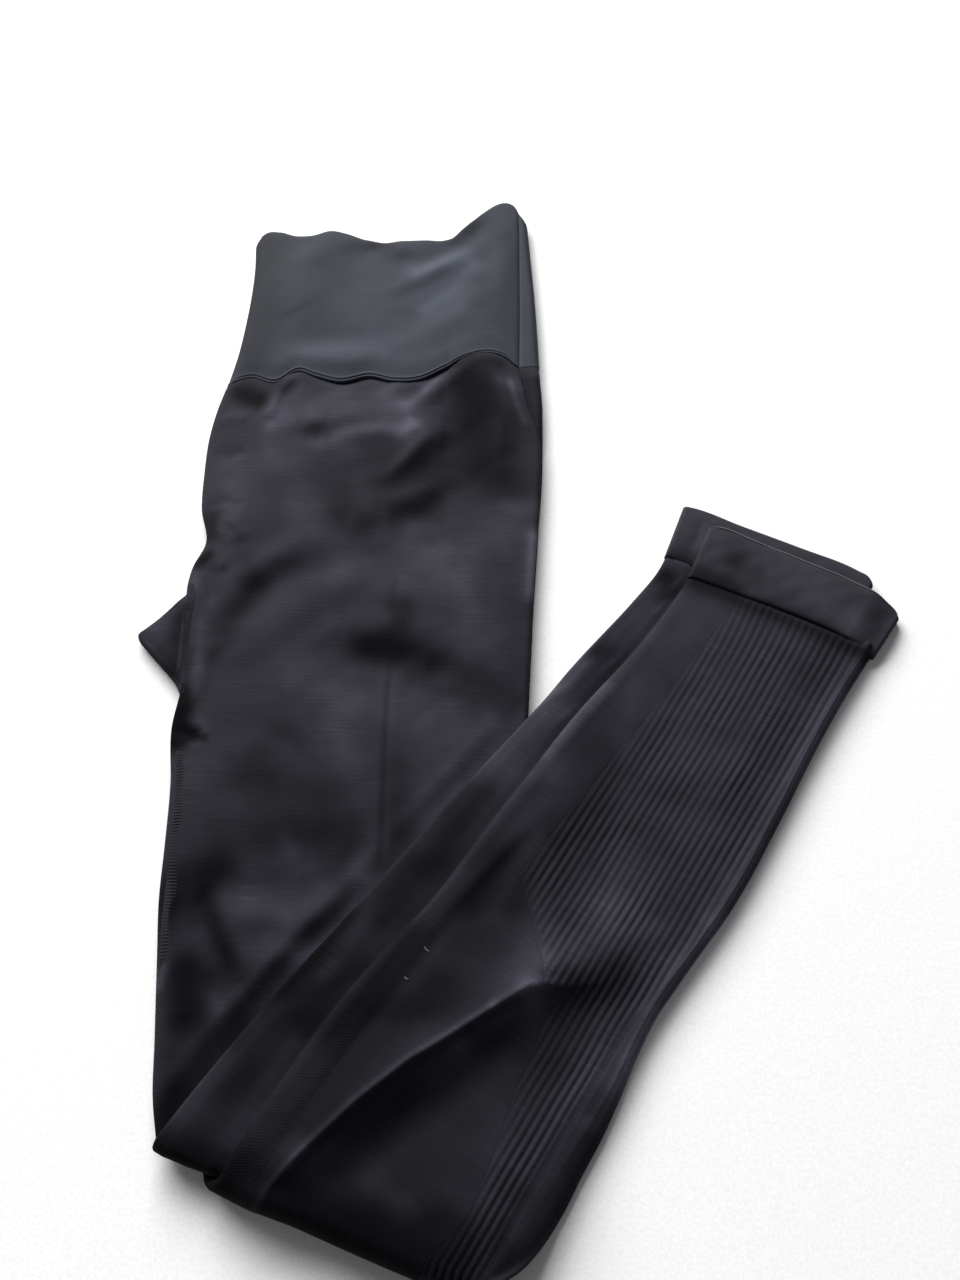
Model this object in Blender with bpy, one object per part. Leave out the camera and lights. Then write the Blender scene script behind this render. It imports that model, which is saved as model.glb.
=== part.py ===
"""High-waist leggings, folded in half along the centre and then folded back at the knee.

The legs are knitted tubes pressed flat. The right leg lies on the left one, the fold at the knee turns
both over, and the lower legs run diagonally back across the thighs, the left one now on top.
Plan sizes are millimetres from the left end of the knee fold: +X across the thighs, +Y to the waist.
A calf has its own directions: `along` the calf to the ankle, and `across` it to the lower right.
"""
import math

import bpy
import numpy as np

MM = 0.001

# ---- cloth -------------------------------------------------------------------------------------
WALL = 1.5                       # knit wall
GAP = 0.3                        # clearance between layers and at seams
TUBE = 2 * WALL + GAP            # one leg's tube pressed flat
STACK = 2 * TUBE + GAP           # both tubes, one on the other
FOLD_GAP = 0.6                   # clearance inside the knee fold
CALF_LEVEL = STACK + FOLD_GAP    # underside of the right calf where it lies on the thigh
TUCK = 6.0                       # how far a wall returns under its own edge
LOFT = 1.5                       # how far the slack cloth stands above pressed layers
CORE_CLEAR = 1.4                 # extra clearance over the hidden layers
CORE_INSET = 10.0                # of the hidden layers from the walls' edges
# Where columns of points lie between two walls' tucked edges, so that layers stay parallel
COLUMN_SHARES = np.array((0.0, 0.113, 0.197, 0.330, 0.480, 0.600, 0.780, 1.0))
HALF_TURN = math.pi
QUARTER_TURN = math.pi / 2
THREE_EIGHTHS_TURN = math.pi * 3 / 4

# ---- knee fold and calf directions ---------------------------------------------------------------
CALF_ANGLE = math.radians(35.45)          # of the calves' length from +Y, to the right
ALONG = np.array([math.sin(CALF_ANGLE), math.cos(CALF_ANGLE)])
ACROSS = np.array([math.cos(CALF_ANGLE), -math.sin(CALF_ANGLE)])
FOLD_AT = 3.0                             # along: where the walls start to turn over
FOLD_SHEAR = 0.28                         # along per across at the knee fold
ANKLE_SHEAR = 0.141                       # and at the left cuff's seam
LEFT_CALF_END = 303.3
RIGHT_CALF_END = 311.5
FOLD_WIDTH = 100.0                        # of the right leg at the knee fold
FOLD_SHOWS = 17.0                         # how far the left leg reaches beyond it at the right
FOLD_INSET = 8.0                          # and how far it starts inside it at the left
FOLD_STEPS = 5

# ---- thigh: a row for each section from the waist seam down ----------------------------------------
# left x, left y, right x, right y, how far the left leg shows at the right, its inset at the left,
# and the turn of the left edge: a quarter where both legs meet in the centre back seam
THIGH_ROWS = (
    (-19.5, 350.0, 131.5, 359.0, 10.0, 0.0, QUARTER_TURN),
    (-22.5, 331.0, 135.0, 337.0, 7.5, 0.0, QUARTER_TURN),
    (-23.8, 315.0, 140.0, 317.0, 2.0, 0.0, QUARTER_TURN),
    (-22.7, 292.0, 140.0, 288.0, 0.8, 0.0, QUARTER_TURN),
    (-20.7, 269.0, 138.0, 263.0, 0.5, 0.0, QUARTER_TURN),
    (-17.0, 248.5, 136.5, 243.0, 0.5, 0.0, QUARTER_TURN),
    (-21.0, 236.0, 135.5, 232.0, 0.5, 0.0, QUARTER_TURN),
    (-21.5, 226.5, 134.8, 223.0, 0.5, 0.0, THREE_EIGHTHS_TURN),
    (-21.0, 218.0, 134.2, 216.0, 0.5, 0.0, HALF_TURN),
    (-19.0, 201.0, 133.0, 198.0, 0.5, 0.0, HALF_TURN),
    (-16.0, 175.0, 131.5, 177.0, 0.5, 0.0, HALF_TURN),
    (-17.0, 155.0, 130.0, 156.0, 0.5, 0.0, HALF_TURN),
    (-14.0, 130.0, 126.0, 128.0, 0.5, 0.0, HALF_TURN),
    (-12.4, 105.0, 121.5, 97.0, 0.5, 0.0, HALF_TURN),
    (-10.7, 83.0, 117.5, 69.0, 0.5, 1.0, HALF_TURN),
    (-8.3, 63.0, 113.0, 41.0, 3.0, 2.5, HALF_TURN),
    (-4.1, 33.0, 107.5, 7.0, 8.0, 4.5, HALF_TURN),
    (-1.7, 14.0, 103.0, -17.0, 13.0, 6.5, HALF_TURN),
)
# The upper half's waist seam is wavy; on the underside it is straight
SEAM_X = (-9.5, 5.3, 16.3, 33.7, 53.4, 69.1, 92.7, 121.5)
SEAM_Y = (350.0, 348.3, 355.5, 348.3, 352.5, 348.6, 358.5, 364.5)

WAIST_SLOPE = (THIGH_ROWS[0][3] - THIGH_ROWS[0][1]) / (THIGH_ROWS[0][2] - THIGH_ROWS[0][0])

# ---- waistband: a row for each section, from its lower edge up ---------------------------------------
# share of the height, left x, right x of the upper half, right x of the lower half, ridge height
WAIST_ROWS = (
    (0.000, -20.5, 131.4, 141.8, 0.5),
    (0.012, -20.3, 131.5, 141.8, 1.1),
    (0.026, -20.0, 131.6, 141.8, 0.4),
    (0.040, -19.7, 131.7, 141.8, 1.0),
    (0.060, -19.3, 131.8, 141.7, 0.0),
    (0.200, -17.8, 132.2, 141.5, 0.0),
    (0.400, -16.6, 132.8, 141.0, 0.0),
    (0.600, -16.2, 133.2, 140.2, 0.0),
    (0.800, -16.8, 133.6, 139.2, 0.0),
    (0.960, -18.0, 133.8, 138.2, 0.0),
    (1.000, -17.0, 132.6, 137.0, 0.0),
)
TOP_X = (-18.6, -14.4, 7.7, 24.4, 56.5, 93.4, 110.5, 125.2, 133.8, 138.1)
TOP_Y = (455.5, 463.3, 459.9, 465.1, 454.7, 458.1, 476.6, 490.2, 483.0, 478.0)

# ---- calves: a row for each section from the knee fold to the ankle ----------------------------------
# along, right leg's left edge, left leg's left edge, right leg's right edge, left leg's right edge,
# where the left leg starts to drop to the surface, height of its right edge, ribbed zone's start and end
CALF_ROWS = np.array((
    (3.0, 0.0, 30.0, 101.0, 117.0, 108.0, STACK + CALF_LEVEL, 94.0, 104.0),
    (10.0, 0.0, 28.0, 103.0, 121.0, 111.0, 10.5, 96.5, 107.0),
    (18.0, 0.0, 26.5, 104.5, 123.0, 112.5, 6.5, 98.5, 109.2),
    (30.0, 0.3, 25.0, 105.0, 123.8, 113.5, TUBE, 96.5, 109.2),
    (45.0, 1.0, 24.0, 105.0, 123.0, 114.0, TUBE, 93.5, 109.2),
    (60.0, 2.0, 23.3, 105.0, 122.5, 114.5, TUBE, 90.3, 109.2),
    (76.0, 3.3, 23.5, 105.0, 121.0, 112.0, TUBE, 88.0, 109.2),
    (92.0, 5.0, 25.5, 105.0, 119.0, 110.0, TUBE, 83.5, 109.2),
    (108.0, 6.0, 27.5, 105.0, 118.0, 107.0, TUBE, 74.0, 111.0),
    (122.0, 7.2, 28.5, 105.3, 118.8, 105.0, TUBE, 62.0, 113.0),
    (136.0, 8.5, 28.6, 105.5, 119.8, 104.0, TUBE, 49.0, 114.3),
    (156.0, 10.2, 28.8, 105.7, 121.6, 104.0, TUBE, 50.2, 115.4),
    (176.0, 12.0, 29.5, 106.0, 122.0, 104.0, TUBE, 51.3, 115.4),
    (196.0, 14.0, 30.0, 105.8, 121.3, 104.0, TUBE, 52.2, 115.4),
    (212.0, 15.5, 30.5, 105.4, 120.7, 104.0, TUBE, 53.2, 115.4),
    (230.0, 16.4, 31.6, 105.0, 119.7, 103.5, TUBE, 54.6, 115.4),
    (255.0, 17.8, 33.5, 104.4, 118.8, 103.0, TUBE, 56.3, 115.4),
    (280.0, 19.2, 34.5, 103.8, 118.6, 102.5, TUBE, 57.2, 115.4),
    (LEFT_CALF_END, 20.0, 33.9, 103.2, 119.2, 102.0, TUBE, 58.2, 115.4),
    (RIGHT_CALF_END, 18.9, 33.0, 103.2, 119.4, 102.0, TUBE, 58.2, 115.4),
))
# The thigh's hidden right edge, which the calves cross and then drop from
EDGE_X = 132.5
EDGE_Y = 157.0
EDGE_SLOPE = 0.172
DROP_START = 10.0
DROP_LENGTH = 30.0
# Layers bunched up at the right end of the knee fold: along, across, radius, height
BUNCH = (45.0, 104.0, 34.0, 3.5)

# ---- ribbed zone of the left calf ---------------------------------------------------------------------
RIB_PITCH = 3.1
RIB_HEIGHT = 0.9
RIB_PROFILE = ((0.0, 0.0), (0.32, 1.0), (0.70, 1.0))      # share of the pitch, share of the height
RIB_START = 18.0
SEAM_GAP = 0.4

# ---- cuffs: along at the left and right ends of the seam, and of the open edge -------------------------
CUFF_WALL = 1.6
# across of the left and right ends at the seam and at the open edge, along of both edges' ends
RIGHT_CUFF = (18.6, 104.0, 11.5, 104.7, 314.4, 326.4, 343.6, 354.4)
LEFT_CUFF = (33.7, 120.6, 28.0, 121.5, 308.6, 320.9, 335.5, 341.6)

# ---- gusset: a row for each section: y, right x, left x, height ----------------------------------------
GUSSET_ROWS = (
    (226.0, -22.2, -24.9, 5.6),
    (217.0, -21.6, -30.5, 6.2),
    (208.0, -20.3, -36.0, 6.0),
    (201.3, -19.4, -39.7, 5.2),
    (193.0, -18.6, -34.0, 6.0),
    (184.0, -17.6, -26.5, 6.2),
    (177.0, -16.7, -19.6, 5.6),
)

# ---- largest folds of the cloth: start, end, half-width, height (negative for hollows) -----------------
WAIST_FOLDS = (
    ((67.5, 394.0), (105.0, 438.0), 12.0, 1.6),
    ((19.0, 364.0), (69.0, 366.0), 9.0, 1.2),
    ((57.0, 449.0), (71.0, 449.0), 12.0, -1.4),
)
THIGH_FOLDS = (
    ((-6.0, 338.0), (-4.0, 337.0), 9.0, -1.4),
    ((14.0, 352.0), (3.5, 330.0), 7.0, 1.6),
    ((103.0, 360.0), (79.0, 341.0), 7.0, 2.2),
    ((61.0, 345.0), (78.0, 310.0), 9.0, 1.8),
    ((24.0, 315.0), (34.0, 317.0), 8.0, -1.4),
    ((87.0, 313.0), (62.0, 287.0), 6.0, 1.8),
    ((112.0, 344.0), (120.0, 286.0), 14.0, -1.5),
    ((124.0, 340.0), (136.0, 320.0), 6.0, 1.8),
    ((73.0, 268.0), (92.0, 272.0), 9.0, -1.3),
    ((40.0, 239.0), (-1.0, 201.0), 10.0, -1.3),
    ((63.0, 193.0), (127.0, 167.0), 10.0, -1.3),
    ((72.0, 188.0), (72.0, 95.0), 5.0, 0.9),
    ((7.0, 96.0), (64.0, 100.0), 10.0, -1.3),
    ((7.0, 80.0), (60.0, 84.0), 9.0, 2.0),
)
CALF_FOLDS = (
    ((153.0, 60.0), (117.0, 46.0), 8.0, 2.6),
    ((117.0, 46.0), (83.0, 26.0), 6.5, 3.4),
    ((83.0, 26.0), (36.0, -13.0), 6.5, 3.0),
    ((153.0, 43.0), (117.0, 34.0), 9.0, -1.5),
    ((117.0, 34.0), (84.0, 11.0), 11.0, -1.5),
    ((84.0, 11.0), (53.0, -13.0), 10.0, -1.5),
    ((126.0, 92.0), (86.0, 51.0), 6.0, -1.4),
    ((158.0, 147.0), (85.0, 60.0), 5.0, 1.0),
)

COLOURS = {
    "waistband": (0.062, 0.070, 0.084),
    "right_leg": (0.030, 0.029, 0.037),
    "left_leg": (0.024, 0.023, 0.030),
    "gusset": (0.026, 0.025, 0.031),
    "left_calf_ribs": (0.026, 0.026, 0.034),
    "right_cuff": (0.027, 0.027, 0.032),
    "left_cuff": (0.032, 0.032, 0.038),
    "hidden_layers": (0.020, 0.020, 0.025),
}
KNIT_ROUGHNESS = 0.8


def smooth(value):
    """Ease from 0 to 1 while the value goes from 0 to 1."""
    share = np.clip(value, 0.0, 1.0)
    return share * share * (3.0 - 2.0 * share)


def folds_height(x, y, folds):
    """Sum of soft ridges and hollows, each a bell across a straight run."""
    height = np.zeros_like(x)
    for (x0, y0), (x1, y1), width, rise in folds:
        run_x, run_y = x1 - x0, y1 - y0
        share = ((x - x0) * run_x + (y - y0) * run_y) / (run_x ** 2 + run_y ** 2)
        share = np.clip(share, 0.0, 1.0)
        far = np.hypot(x - x0 - share * run_x, y - y0 - share * run_y)
        height += rise * np.exp(-(far / width) ** 2)
    return height


def crown(share):
    """Full in the middle of a width, nothing at its edges."""
    return 1.0 - np.abs(2.0 * np.clip(share, 0.0, 1.0) - 1.0) ** 4


def calf_value(along, column):
    """A column of CALF_ROWS between its rows."""
    return np.interp(along, CALF_ROWS[:, 0], CALF_ROWS[:, column])


def calf_plan(along, across):
    """Plan position of a place on the calves, whose rows turn from the fold's slant to the ankle's."""
    share = np.minimum(along, LEFT_CALF_END) / LEFT_CALF_END
    shear = FOLD_SHEAR + (ANKLE_SHEAR - FOLD_SHEAR) * share
    far = along + shear * across
    return far * ALONG[0] + across * ACROSS[0], far * ALONG[1] + across * ACROSS[1]


def ground(x, y):
    """Height that the right calf lies at: on the thigh, then down to the surface beside it."""
    beyond = x - EDGE_X - EDGE_SLOPE * (y - EDGE_Y) - DROP_START
    return CALF_LEVEL * (1.0 - smooth(beyond / DROP_LENGTH))


def left_ground(along, across):
    """The same for the left calf, whose right part drops to the surface beside the right calf."""
    base = ground(*calf_plan(along, across))
    start = calf_value(along, 5)
    edge = calf_value(along, 4) - TUBE / 2
    drop = smooth((across - start) / (edge - start))
    return base + drop * (calf_value(along, 6) - STACK - base)


def bunch(along, across):
    """Extra height of the layers bunched at the right end of the knee fold."""
    centre_along, centre_across, radius, height = BUNCH
    far = np.hypot(along - centre_along, across - centre_across) / radius
    inside = smooth((calf_value(along, 4) - across) / 16.0) * smooth(along / 25.0)
    return height * np.exp(-far ** 2) * inside


def left_calf_cover(along, across):
    """What the left calf's top adds to its pressed height: slack, folds and the bunched layers."""
    left = calf_value(along, 2)
    right = calf_value(along, 4)
    slack = crown((across - left) / (right - left)) * smooth(along / 20.0)
    folds = folds_height(*calf_plan(along, across), CALF_FOLDS)
    return slack * (LOFT + folds) + bunch(along, across)


def left_calf_top(along, across):
    """Points on the top of the left calf."""
    x, y = calf_plan(along, across)
    height = left_ground(along, across) + STACK + left_calf_cover(along, across)
    return np.stack([x, y, height], axis=-1)


def thigh_cover(x, y, share):
    """What the right thigh's top adds to its pressed height. It is flat under the calves."""
    across = x * ACROSS[0] + y * ACROSS[1]
    along = x * ALONG[0] + y * ALONG[1]
    open_part = smooth((calf_value(along, 1) - 14.0 - across) / 16.0)
    return open_part * crown(share) * (LOFT + folds_height(x, y, THIGH_FOLDS))


def edge_turn(level, back, turn, reach, shares):
    """Points of a wall from its main part round an edge and back under it, as (inset, height).

    An arc through `turn`, then a straight return of length `reach` in the arc's last direction.
    """
    side = math.copysign(1.0, back - level)
    radius = (abs(back - level) - reach * math.sin(turn)) / (1.0 - math.cos(turn))
    angles = np.array([0.0, 0.33, 0.67, 1.0]) * turn
    straight = np.asarray(shares) * reach
    outer, inner = [], []
    for points, depth, bend in ((outer, 0.0, radius), (inner, WALL, radius - WALL)):
        inset = depth + bend * (1.0 - np.sin(angles))
        height = level + side * (depth + bend * (1.0 - np.cos(angles)))
        inset = np.append(inset, inset[-1] - math.cos(turn) * straight)
        height = np.append(height, height[-1] + side * math.sin(turn) * straight)
        points.extend(zip(inset, height))
    return radius, np.array(outer), np.array(inner)


def wall_section(left, right, level, back, columns, left_edge, right_edge, ends):
    """One section of a tube's visible side with both edges turned.

    Returns outer and inner (across, height). `columns` gives the main part's places from the two
    places where its edges start; an edge is (turn, reach); `ends` the shares of both returns.
    """
    radius_l, outer_l, inner_l = edge_turn(level, back, *left_edge, ends[0])
    radius_r, outer_r, inner_r = edge_turn(level, back, *right_edge, ends[1])
    main = columns(left + radius_l, right - radius_r)
    side = math.copysign(1.0, back - level)
    sections = []
    for points_l, points_r, depth in ((outer_l, outer_r, 0.0), (inner_l, inner_r, WALL)):
        inside = main[1:-1]
        across = np.concatenate([left + points_l[::-1, 0], inside, right - points_r[:, 0]])
        height = np.concatenate([points_l[::-1, 1], np.full(len(inside), level + side * depth),
                                 points_r[:, 1]])
        sections.append((across, height))
    return sections


def fold_over(before, after):
    """Rows that carry each column of points round the knee fold on a half ellipse."""
    outward = -ALONG + FOLD_SHEAR * ACROSS
    outward = np.append(outward / np.linalg.norm(outward), 0.0)
    middle = (before + after) / 2
    half = (before - after) / 2
    bulge = np.abs(half[:, 2:3])
    rows = []
    for step in range(1, FOLD_STEPS):
        angle = math.pi * step / FOLD_STEPS
        rows.append(middle + half * math.cos(angle) + outward * bulge * math.sin(angle))
    return rows


def close_wall(outer, inner, faces):
    """One closed body from two like sets of points: faces outside, faces inside, and a rim."""
    used = sorted({index for face in faces for index in face})
    place = {index: number for number, index in enumerate(used)}
    outer = outer[used]
    inner = inner[used]
    count = len(used)
    skin = [tuple(place[index] for index in face) for face in faces]
    edges = {}
    for face in skin:
        for start, end in zip(face, face[1:] + face[:1]):
            edges[(start, end)] = (end, start) not in edges
            if (end, start) in edges:
                edges[(end, start)] = False
    solid = list(skin)
    solid += [tuple(index + count for index in reversed(face)) for face in skin]
    for (start, end), alone in edges.items():
        if alone:
            solid.append((end, start, start + count))
            solid.append((end, start + count, end + count))
    return np.concatenate([outer, inner]), solid


def grid_faces(points, wrap=False, keep=None):
    """Two triangles for each cell of a grid, split from the side nearer the calves' left.

    So layers over each other are split alike and stay parallel. `wrap` joins the last column to the
    first, and `keep` tells which cells to keep.
    """
    rows, columns = points.shape[:2]
    across = points[..., :2] @ ACROSS
    faces = []
    for row in range(rows - 1):
        for column in range(columns if wrap else columns - 1):
            if keep is not None and not keep(row, column):
                continue
            following = (column + 1) % columns
            a = row * columns + column
            b = row * columns + following
            c = (row + 1) * columns + following
            d = (row + 1) * columns + column
            if across[row, column] < across[row, following]:
                faces += [(a, b, c), (a, c, d)]
            else:
                faces += [(a, b, d), (b, c, d)]
    return faces


def grid_wall(outer_rows, inner_rows, wrap=False, keep=None):
    """A closed wall from like lists of rows of points."""
    outer = np.array(outer_rows)
    inner = np.array(inner_rows)
    faces = grid_faces(outer, wrap, keep)
    return close_wall(outer.reshape(-1, 3), inner.reshape(-1, 3), faces)


def thigh_sections():
    """The thigh's rows, with the knee fold as the last: left end, right end and the table's columns."""
    rows = [(np.array(row[0:2]), np.array(row[2:4]), row[4], row[5], row[6]) for row in THIGH_ROWS]
    left_end = np.array(calf_plan(FOLD_AT, 0.0))
    right_end = np.array(calf_plan(FOLD_AT, FOLD_WIDTH))
    rows.append((left_end, right_end, FOLD_SHOWS, FOLD_INSET, HALF_TURN))
    return rows


def thigh_points(row_number, left, right, across, height, wavy):
    """Points of a thigh row. On the upper side the first two rows follow the wavy waist seam."""
    width = np.linalg.norm(right - left)
    plan = left + np.outer(across / width, right - left)
    if wavy and row_number < 2:
        wave = np.interp(plan[:, 0], SEAM_X, SEAM_Y) - plan[:, 1]
        plan[:, 1] += wave * (1.0, 0.4)[row_number]
    return np.column_stack([plan, height])


def shared_columns(start, end):
    """Columns where hidden layers lie against a wall."""
    return start + COLUMN_SHARES * (end - start)


def right_leg():
    """The right leg from waist seam to ankle: thigh's top side, knee fold, calf's underside.

    Its left return widens on the calf into the strip that shows beside the left calf.
    """
    outer_rows, inner_rows = [], []
    for number, (left, right, _, inset, turn) in enumerate(thigh_sections()):
        width = np.linalg.norm(right - left)
        reach = TUCK if turn == HALF_TURN else 3 * GAP

        def columns(start, end, width=width, inset=inset, reach=reach):
            tucked = start + np.array((0.0, 0.3, 0.6, 1.0)) * min(reach, 4.0)
            core = shared_columns(CORE_INSET + inset, width - CORE_INSET)
            return np.concatenate([tucked, core, [end - TUCK, end]])
        section = wall_section(0.0, width, STACK, TUBE + GAP, columns, (turn, reach),
                               (HALF_TURN, TUCK), ((0.3, 0.6, 1.0), (1.0,)))
        for rows, (across, height) in zip((outer_rows, inner_rows), section):
            points = thigh_points(number, left, right, across, height, True)
            main = np.arange(len(across))
            top = (main >= 6) & (main < len(across) - 4)
            cover = thigh_cover(points[:, 0], points[:, 1], across / width)
            points[:, 2] += np.where(top, cover, 0.0)
            rows.append(points)
    calf_outer, calf_inner = [], []
    for along in CALF_ROWS[:, 0]:
        left = calf_value(along, 1)
        under = calf_value(along, 2)
        right = calf_value(along, 3)
        start = left + TUBE / 2
        reach = under + TUBE / 2 + TUCK - start
        strip = (np.array([(start + under) / 2, under + TUBE / 2]) - start) / reach
        strip = np.append(strip, 1.0)

        def columns(start, end, under=under, right=right, reach=reach, strip=strip):
            core = shared_columns(under + CORE_INSET, right - CORE_INSET)
            return np.concatenate([[start], start + strip * reach, core, [end - TUCK, end]])
        section = wall_section(left, right, 0.0, TUBE, columns, (HALF_TURN, reach),
                               (HALF_TURN, TUCK), (strip, (1.0,)))
        for rows, (across, height) in zip((calf_outer, calf_inner), section):
            x, y = calf_plan(along, across)
            rows.append(np.column_stack([x, y, height + ground(x, y)]))
    for rows, calf in ((outer_rows, calf_outer), (inner_rows, calf_inner)):
        rows += fold_over(rows[-1], calf[0]) + calf
    return grid_wall(outer_rows, inner_rows)


LEFT_PLAIN = 3            # columns of the left calf's plain part, between its tuck and the ribbed zone
LEFT_RIBBED = 5           # columns across the ribbed zone


def left_leg():
    """The left leg: thigh's underside, knee fold, calf's top side, open where the ribbed zone lies."""
    ends = ((1.0,), (0.5, 1.0))
    outer_rows, inner_rows = [], []
    for number, (left, right, shows, inset, turn) in enumerate(thigh_sections()):
        width = np.linalg.norm(right - left) + shows
        reach = TUCK if turn == HALF_TURN else 3 * GAP

        def columns(start, end):
            core = np.linspace(start + TUCK, end - TUCK, LEFT_PLAIN + LEFT_RIBBED + 1)
            return np.concatenate([[start], core, [end - TUCK / 2, end]])
        section = wall_section(inset, width, 0.0, TUBE, columns, (turn, reach),
                               (HALF_TURN, TUCK), ends)
        for rows, (across, height) in zip((outer_rows, inner_rows), section):
            rows.append(thigh_points(number, left, right, across, height, False))
    calf_outer, calf_inner = [], []
    calf_along = [along for along in CALF_ROWS[:, 0] if along <= LEFT_CALF_END]
    for along in calf_along:
        left = calf_value(along, 2)
        right = calf_value(along, 4)
        side = calf_value(along, 7)
        flank = calf_value(along, 8)
        reach = right - TUBE / 2 - flank

        def columns(start, end, side=side, flank=flank):
            plain = np.linspace(start + TUCK, side, LEFT_PLAIN + 1)
            ribbed = np.linspace(side, flank, LEFT_RIBBED + 1)[1:]
            return np.concatenate([[start], plain, ribbed, [(flank + end) / 2, end]])
        section = wall_section(left, right, STACK, TUBE + GAP, columns, (HALF_TURN, TUCK),
                               (HALF_TURN, reach), ends)
        for rows, (across, height) in zip((calf_outer, calf_inner), section):
            x, y = calf_plan(along, across)
            main = np.arange(len(across))
            top = (main >= 4) & (main < len(across) - 5)
            cover = np.where(top, left_calf_cover(along, across), 0.0)
            rows.append(np.column_stack([x, y, height + left_ground(along, across) + cover]))
    first_rib_row = len(outer_rows) + FOLD_STEPS - 1 + calf_along.index(RIB_START)
    first_column = 4 + 1 + LEFT_PLAIN
    last_column = first_column + LEFT_RIBBED

    def keep(row, column):
        return row < first_rib_row or not first_column <= column < last_column
    for rows, calf in ((outer_rows, calf_outer), (inner_rows, calf_inner)):
        rows += fold_over(rows[-1], calf[0]) + calf
    return grid_wall(outer_rows, inner_rows, keep=keep)


def rib_lines(side, flank):
    """Across place and height share of each line of the ribs."""
    first = side.min() + SEAM_GAP
    last = flank.max() - SEAM_GAP
    lines = []
    for rib in range(int((last - first) / RIB_PITCH)):
        for share, height in RIB_PROFILE:
            lines.append((first + (rib + share) * RIB_PITCH, height))
    lines.append((flank.min() - SEAM_GAP, 0.5))
    lines.append((last, 0.0))
    return sorted(lines)


def rib_ends(across, along, side, flank):
    """Where a rib line starts and ends along the calf, within the ribbed zone."""
    tip = int(np.argmin(side))
    narrow = int(np.sum(flank <= flank[0])) - 1
    wide = int(np.argmax(flank))
    from_side = np.interp(across, side[tip::-1] + SEAM_GAP, along[tip::-1])
    from_flank = np.interp(across, flank[narrow:wide + 1] - SEAM_GAP, along[narrow:wide + 1],
                           left=along[0])
    end = np.interp(across, side[tip:] + SEAM_GAP, along[tip:])
    return max(along[0] + SEAM_GAP, from_side, from_flank), end


def left_calf_ribs():
    """The ribbed zone: ribs raised along the calf on the outer side, plain inside."""
    table = CALF_ROWS[(CALF_ROWS[:, 0] >= RIB_START) & (CALF_ROWS[:, 0] <= LEFT_CALF_END)]
    along_rows, side, flank = table[:, 0], table[:, 7], table[:, 8]
    outer, inner, index = [], [], []
    for across, share in rib_lines(side, flank):
        start, end = rib_ends(across, along_rows, side, flank)
        numbers = []
        for along in np.clip(along_rows, start, end):
            if numbers and along - last < 0.5:
                numbers.append(numbers[-1])
                continue
            top = left_calf_top(along, across)
            outer.append(top + (0.0, 0.0, share * RIB_HEIGHT))
            inner.append(top - (0.0, 0.0, WALL))
            numbers.append(len(outer) - 1)
            last = along
        index.append(numbers)
    faces = []
    for line, following in zip(index, index[1:]):
        for a, d, b, c in zip(line, line[1:], following, following[1:]):
            for face in ((a, b, c), (a, c, d)):
                if len(set(face)) == 3:
                    faces.append(face)
    return close_wall(np.array(outer), np.array(inner), faces)


def core_heights(ground_height, extra):
    """Lower and upper heights of the hidden layers over a base, drawn in at both edges."""
    low = ground_height + WALL + GAP
    high = ground_height + STACK - WALL - GAP - CORE_CLEAR + extra
    pinch = np.where((COLUMN_SHARES == 0.0) | (COLUMN_SHARES == 1.0), 0.6, 0.0)
    return low + pinch, high - pinch


def hidden_layers():
    """One rounded solid for the layers between. It follows both legs round the knee fold."""
    low_rows, high_rows = [], []
    low, high = core_heights(np.zeros(len(COLUMN_SHARES)), 0.0)
    table = np.array(WAIST_ROWS)
    for share in (0.95, 0.6, 0.2, 0.02):
        left_x = np.interp(share, table[:, 0], table[:, 1])
        right_x = np.interp(share, table[:, 0], table[:, 2])
        x = shared_columns(left_x + CORE_INSET, right_x - CORE_INSET)
        y = waist_y(x, share, True)
        low_rows.append(np.column_stack([x, y, low]))
        high_rows.append(np.column_stack([x, y, high]))
    for number, (left, right, _, inset, _) in enumerate(thigh_sections()):
        width = np.linalg.norm(right - left)
        across = shared_columns(CORE_INSET + inset, width - CORE_INSET)
        low_rows.append(thigh_points(number, left, right, across, low, True))
        high_rows.append(thigh_points(number, left, right, across, high, True))
    calf_low, calf_high = [], []
    for along in CALF_ROWS[CALF_ROWS[:, 0] < LEFT_CALF_END - 5.0, 0]:
        across = shared_columns(calf_value(along, 2) + CORE_INSET, calf_value(along, 3) - CORE_INSET)
        x, y = calf_plan(along, across)
        low, high = core_heights(ground(x, y), 0.2 * bunch(along, across))
        calf_low.append(np.column_stack([x, y, low]))
        calf_high.append(np.column_stack([x, y, high]))
    low_rows += fold_over(low_rows[-1], calf_high[0]) + calf_high
    high_rows += fold_over(high_rows[-1], calf_low[0]) + calf_low
    return grid_wall(low_rows, high_rows)


def waist_y(x, share, upper):
    """Y of the waistband at a share of its height, between the seam and the top edge."""
    straight = THIGH_ROWS[0][1] + (x - THIGH_ROWS[0][0]) * WAIST_SLOPE
    seam = np.where(upper | (x < SEAM_X[0]), np.interp(x, SEAM_X, SEAM_Y), straight)
    top = np.interp(x, TOP_X, TOP_Y)
    return seam + SEAM_GAP + (top - seam - SEAM_GAP) * share


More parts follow.
